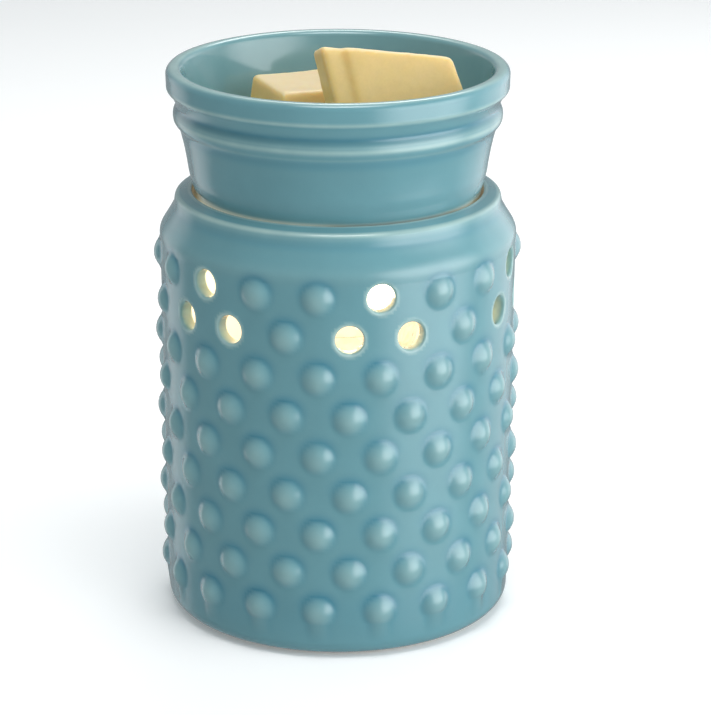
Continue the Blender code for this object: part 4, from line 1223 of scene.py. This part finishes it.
def cross_recess(x, y, face, inward, size):
    """The two bars of a cross recess in a screw's head, as cutters."""
    bars = []
    for turn in (0.0, 0.5 * math.pi):
        bar = bmesh.new()
        bmesh.ops.create_cube(bar, size=1.0)
        taper = Matrix.Diagonal((1.7 * size, 0.36 * size, 1.3 * size, 1.0))
        at = Matrix.Translation((x, y, face + inward * 0.2 * size))
        turned = at @ Matrix.Rotation(turn + 0.4, 4, "Z") @ taper
        bars.append(mesh_of("recess_bar", moved(bar, turned)))
    return bars


def fit_screw(node, head_up=True):
    """A pan-head screw with a cross recess and a threaded shank."""
    low, high, head, (x, y) = span(node)
    crown, tip = (high, low) if head_up else (low, high)
    inward = -1 if head_up else 1
    head_height = 1.5 * MM
    face = crown + inward * head_height
    shank = 1.5 * MM
    line = [(0.0, crown), *rounded([
        (0.2 * head, crown, 0, 1), (0.8 * head, crown, 0.6 * MM, 5),
        (head, crown + inward * 0.6 * head_height, 0.4 * MM, 4), (head, face, 0, 1),
    ]), (shank, face), (shank, face + inward * 0.4 * MM)]
    pitch = 0.5 * MM
    for index in range(int((abs(tip - face) - 1.0 * MM) / pitch)):
        z = face + inward * (0.5 * MM + index * pitch)
        line += [(shank, z), (shank - 0.25 * MM, z + inward * 0.5 * pitch)]
    line += [(shank - 0.2 * MM, tip - inward * 0.4 * MM), (shank - 0.6 * MM, tip), (0.0, tip)]
    shape = moved(revolve(line, 32), Matrix.Translation((x, y, 0.0)))
    bars = cross_recess(x, y, crown, inward, head * 0.75)
    mesh = smoothed(settled(mesh_of(node, shape), *[cut_by(bar) for bar in bars]), 35)
    clear_spares()
    place(f"{node}_turned", mesh, steel_finish(), node)


class WARMER_OT_fixings(bpy.types.Operator):
    """Drive the clamping screws with their nuts and the bracket's and holder's screws"""

    bl_idname = "warmer.fixings"
    bl_label = "Screws and nuts"

    def execute(self, context):
        for number in range(1, 4):
            fit_screw(f"base_screw_{number}", head_up=False)
            node = f"base_nut_{number}"
            low, high, _, middle = span(node)
            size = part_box(node)[1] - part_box(node)[0]
            radius = 0.5 * max(size.x, size.y)
            line = [
                (1.8 * MM, high), (0.90 * radius, high), (radius, high - 0.3 * MM),
                (radius, low + 0.3 * MM), (0.90 * radius, low), (1.8 * MM, low),
            ]
            shape = moved(revolve(line, 6, closed=True), Matrix.Translation((*middle, 0.0)))
            bmesh.ops.bevel(
                shape, geom=list(shape.edges), offset=0.12 * MM, segments=2, profile=0.5,
                affect="EDGES", material=-1,
            )
            place(f"{node}_hex", mesh_of(node, shape, 30), steel_finish(), node)
        for node in ("bracket_screw_1", "bracket_screw_2", "holder_screw_1", "holder_screw_2",
                     "block_screw"):
            fit_screw(node)
        return {"FINISHED"}


# ------------------------------------------------------------------ lamp, holder and wiring

class WARMER_OT_lamp(bpy.types.Operator):
    """Fit the bracket, the holder and the reflector lamp"""

    bl_idname = "warmer.lamp"
    bl_label = "Lamp and holder"

    def execute(self, context):
        refined("lamp_bracket", 0.3 * MM, "lamp_bracket_bent", steel_finish())
        refined("lamp_holder", 0.4 * MM, "lamp_holder_fired", porcelain_finish(), angle=50)
        for side in ("live", "neutral"):
            node = f"holder_contact_{side}"
            refined(node, 0.1 * MM, f"{node}_strip", brass_finish())
            node = f"bulb_pin_{side}"
            low, high, head, middle = span(node)
            stem, step = 1.4 * MM, low + 2.2 * MM
            line = rounded([
                (0.0, high, 0, 1), (stem, high, 0.1 * MM, 2), (stem, step, 0.15 * MM, 2),
                (head, step, 0.3 * MM, 3), (head, low, 0.4 * MM, 4), (0.0, low, 0, 1),
            ])
            turned_piece(f"{node}_turned", node, brass_finish(), line, 32, at=middle)
        refined("bulb_base", 0.3 * MM, "bulb_base_moulded", porcelain_finish(), angle=40)
        low, high, rim, _ = span("bulb_reflector")
        throat = 7.6 * MM
        bow = []
        for step in range(25):
            share = step / 24
            r = throat + (rim - 0.8 * MM - throat) * math.sin(0.5 * math.pi * share) ** 0.8
            bow.append((r, low + (high - low - 4.0 * MM) * share))
        inside = [(max(r - 1.56 * MM, throat - 1.2 * MM), z) for r, z in bow]
        inside[-1] = (rim - 1.2 * MM, high - 4.0 * MM)
        line = rounded([
            (rim - 0.6 * MM, high, 0, 1), (rim, high, 0.3 * MM, 3),
            (rim, high - 3.8 * MM, 0.3 * MM, 3), (*bow[-1], 0, 1),
        ])[:-1]
        line += [*reversed(bow), *inside, (rim - 1.2 * MM, high - 0.1 * MM)]
        turned_piece("bulb_reflector_coated", "bulb_reflector", reflector_finish(), line, 96,
                     closed=True, sharp=50)
        low, high, radius, _ = span("bulb_lens")
        line = rounded([
            (0.0, high, 0, 1), (0.75 * radius, high - 0.2 * MM, 5.0 * MM, 8),
            (radius, high - 1.0 * MM, 0.2 * MM, 2), (radius, low, 0.2 * MM, 2), (0.0, low, 0, 1),
        ])
        glass = lamp_glass_finish("lamp_lens", 2.2, 0.25)
        turned_piece("bulb_lens_pressed", "bulb_lens", glass, line, 96)
        low, high, radius, _ = span("bulb_capsule")
        line = rounded([
            (0.0, high, 0, 1), (radius, high, 4.2 * MM, 10), (radius, low, 0.3 * MM, 2),
            (0.0, low, 0, 1),
        ])
        glass = lamp_glass_finish("lamp_capsule", 6.0, 0.12)
        turned_piece("bulb_capsule_blown", "bulb_capsule", glass, line, 48)
        return {"FINISHED"}


class WARMER_OT_wiring(bpy.types.Operator):
    """Fit the terminal block with its sleeves and screws, and the two sleeved leads"""

    bl_idname = "warmer.wiring"
    bl_label = "Terminals and leads"

    def execute(self, context):
        refined("terminal_block", 0.2 * MM, "terminal_block_fired", porcelain_finish(), angle=60)
        for side in ("live", "neutral"):
            refined(f"terminal_sleeve_{side}", 0.12 * MM, f"terminal_sleeve_{side}_turned",
                    brass_finish(), angle=50)
            refined(f"lead_{side}", 0.0, f"lead_{side}_sleeved", sleeving_finish())
        for number in range(1, 5):
            node = f"terminal_screw_{number}"
            low, high, radius, middle = span(node)
            line = rounded([
                (0.0, high, 0, 1), (radius, high, 0.15 * MM, 3), (radius, low, 0.2 * MM, 2),
                (0.0, low, 0, 1),
            ])
            shape = moved(revolve(line, 24), Matrix.Translation((*middle, 0.0)))
            slot = bmesh.new()
            bmesh.ops.create_cube(slot, size=1.0)
            moved(slot, Matrix.Translation((*middle, high)) @ Matrix.Rotation(0.5 * number, 4, "Z")
                  @ Matrix.Diagonal((4 * radius, 0.35 * MM, 1.0 * MM, 1.0)))
            mesh = smoothed(settled(mesh_of(node, shape), cut_by(mesh_of("slot", slot))), 35)
            clear_spares()
            place(f"{node}_turned", mesh, steel_finish(), node)
        return {"FINISHED"}


# ------------------------------------------------------------------ studio

CAMERA_AT = Vector((-0.2055, -0.8489, 0.3674))
CAMERA_AIM = Vector((0.0, 0.0, 0.0795))


def floor_finish():
    """Pale floor that stays near white under the lights."""
    pale = (0.90, 0.90, 0.90)
    material, tree, shader = new_material("pale_floor", pale, {
        "Roughness": 0.9, "Specular IOR Level": 0.0, "Emission Color": (1.0, 1.0, 1.0, 1.0)})
    seen = add(tree, "ShaderNodeLightPath").outputs["Is Camera Ray"]
    drive(
        tree, shader, Base_Color=cloudy(tree, pale, 3.0, 0.01, 300.0, 0.005)["Colour"],
        Emission_Strength=sums(tree, "MULTIPLY", seen, 0.17),
    )
    return material


def softbox(name, at, aim, size, power):
    """An area light that fades towards its edges and shows in reflections, not to the camera."""
    lamp = bpy.data.lights.new(name, "AREA")
    lamp.shape = "RECTANGLE"
    lamp.size, lamp.size_y = size
    lamp.energy = power
    lamp.use_nodes = True
    tree = lamp.node_tree
    spot = add(tree, "ShaderNodeNewGeometry").outputs["Parametric"]
    sides = add(tree, "ShaderNodeSeparateXYZ", {"Vector": spot}).outputs
    fades = []
    for side in (sides["X"], sides["Y"]):
        away = sums(tree, "ABSOLUTE", sums(tree, "SUBTRACT", side, 0.5))
        fades.append(add(tree, "ShaderNodeMapRange", {
            "Value": away, "From Min": 0.5, "From Max": 0.12, "To Min": 0.0, "To Max": 1.45,
        }, interpolation_type="SMOOTHSTEP").outputs[0])
    strength = sums(tree, "MULTIPLY", *fades)
    tree.links.new(strength, tree.nodes["Emission"].inputs["Strength"])
    light = bpy.data.objects.new(name, lamp)
    bpy.context.scene.collection.objects.link(light)
    light.location = at
    light.rotation_euler = (Vector(aim) - Vector(at)).to_track_quat("-Z", "Y").to_euler()
    light.visible_camera = False
    return light


def toward(azimuth, distance, height):
    """A place round the object; azimuth 0 is the front and grows towards +X."""
    angle = math.radians(azimuth)
    return Vector((distance * math.sin(angle), -distance * math.cos(angle), height))


class WARMER_OT_studio(bpy.types.Operator):
    """Lay the floor, hang the lights and set the camera"""

    bl_idname = "warmer.studio"
    bl_label = "Studio"

    def execute(self, context):
        scene = context.scene
        studio = scene.warmer_studio
        shape = bmesh.new()
        bmesh.ops.create_grid(shape, x_segments=8, y_segments=8, size=40.0)
        floor = bpy.data.objects.new("studio_floor", mesh_of("studio_floor", shape))
        scene.collection.objects.link(floor)
        floor.data.materials.append(floor_finish())
        floor.visible_glossy = False
        view = -13.6
        middle = (0.0, 0.0, 0.09)
        softbox("key_box", toward(view + 60, 0.95, 0.18), middle, (1.8, 1.5), studio.key_power)
        softbox("top_box", toward(view + 5, 0.30, 1.1), middle, (0.9, 0.6), studio.fill_power)
        softbox("back_box", toward(view + 170, 0.65, 0.85), middle, (0.9, 0.4), studio.back_power)
        softbox("side_box", toward(view - 130, 0.75, 0.05), middle, (0.55, 1.3), studio.side_power)
        softbox("veil_box", toward(view + 128, 0.85, 0.15), middle, (1.2, 1.3), studio.veil_power)
        inner = bpy.data.lights.new("chamber_light", "POINT")
        inner.energy = 0.016
        inner.color = scene.warmer_look.lamp_light
        inner.shadow_soft_size = 0.012
        chamber = bpy.data.objects.new("chamber_light", inner)
        scene.collection.objects.link(chamber)
        chamber.location = (0.0, 0.0, 0.5 * (DISH_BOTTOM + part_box("bulb_lens")[1].z))
        world = bpy.data.worlds.new("studio_world")
        scene.world = world
        world.use_nodes = True
        tree = world.node_tree
        back = tree.nodes["Background"]
        seen = add(tree, "ShaderNodeLightPath").outputs
        plain = blend_of(tree, seen["Is Camera Ray"], (0.37, 0.40, 0.41), (1.0, 1.0, 1.0))
        colour = blend_of(tree, seen["Is Glossy Ray"], plain, (0.30, 0.33, 0.34))
        tree.links.new(colour, back.inputs["Color"])
        scene.view_settings.view_transform = "Standard"
        camera = bpy.data.cameras.new("studio_camera")
        camera.lens = studio.camera_lens
        camera.sensor_width = 36.0
        camera.shift_x = 0.0246
        camera.shift_y = -0.0152
        camera.clip_start = 0.01
        eye = bpy.data.objects.new("studio_camera", camera)
        scene.collection.objects.link(eye)
        eye.location = CAMERA_AT
        eye.rotation_euler = (CAMERA_AIM - CAMERA_AT).to_track_quat("-Z", "Y").to_euler()
        scene.camera = eye
        return {"FINISHED"}


class WARMER_PT_pieces(bpy.types.Panel):
    """Lists the settings and the pieces"""

    bl_idname = "WARMER_PT_pieces"
    bl_label = "Wax warmer"
    bl_space_type = "VIEW_3D"
    bl_region_type = "UI"
    bl_category = "Warmer"

    def draw(self, context):
        layout = self.layout
        for holder in SETTINGS:
            group = getattr(context.scene, holder)
            column = layout.column(align=True)
            for name in group.__annotations__:
                column.prop(group, name)
        for operator in OPERATORS:
            layout.operator(operator.bl_idname)


SETTINGS = {
    "warmer_body": BodySizes, "warmer_dish": DishSizes, "warmer_melts": MeltSizes,
    "warmer_look": WarmerLook, "warmer_studio": StudioLook,
}
OPERATORS = (
    WARMER_OT_body, WARMER_OT_grommet, WARMER_OT_dish, WARMER_OT_melts, WARMER_OT_base,
    WARMER_OT_fixings, WARMER_OT_lamp, WARMER_OT_wiring, WARMER_OT_studio,
)


def register():
    for kind in (*SETTINGS.values(), *OPERATORS, WARMER_PT_pieces):
        bpy.utils.register_class(kind)
    for name, kind in SETTINGS.items():
        setattr(bpy.types.Scene, name, PointerProperty(type=kind))


def unregister():
    for name in SETTINGS:
        delattr(bpy.types.Scene, name)
    for kind in reversed((*SETTINGS.values(), *OPERATORS, WARMER_PT_pieces)):
        bpy.utils.unregister_class(kind)


def main():
    register()
    for operator in OPERATORS:
        name = operator.bl_idname.split(".")[1]
        getattr(bpy.ops.warmer, name)()


if __name__ == "__main__":
    main()
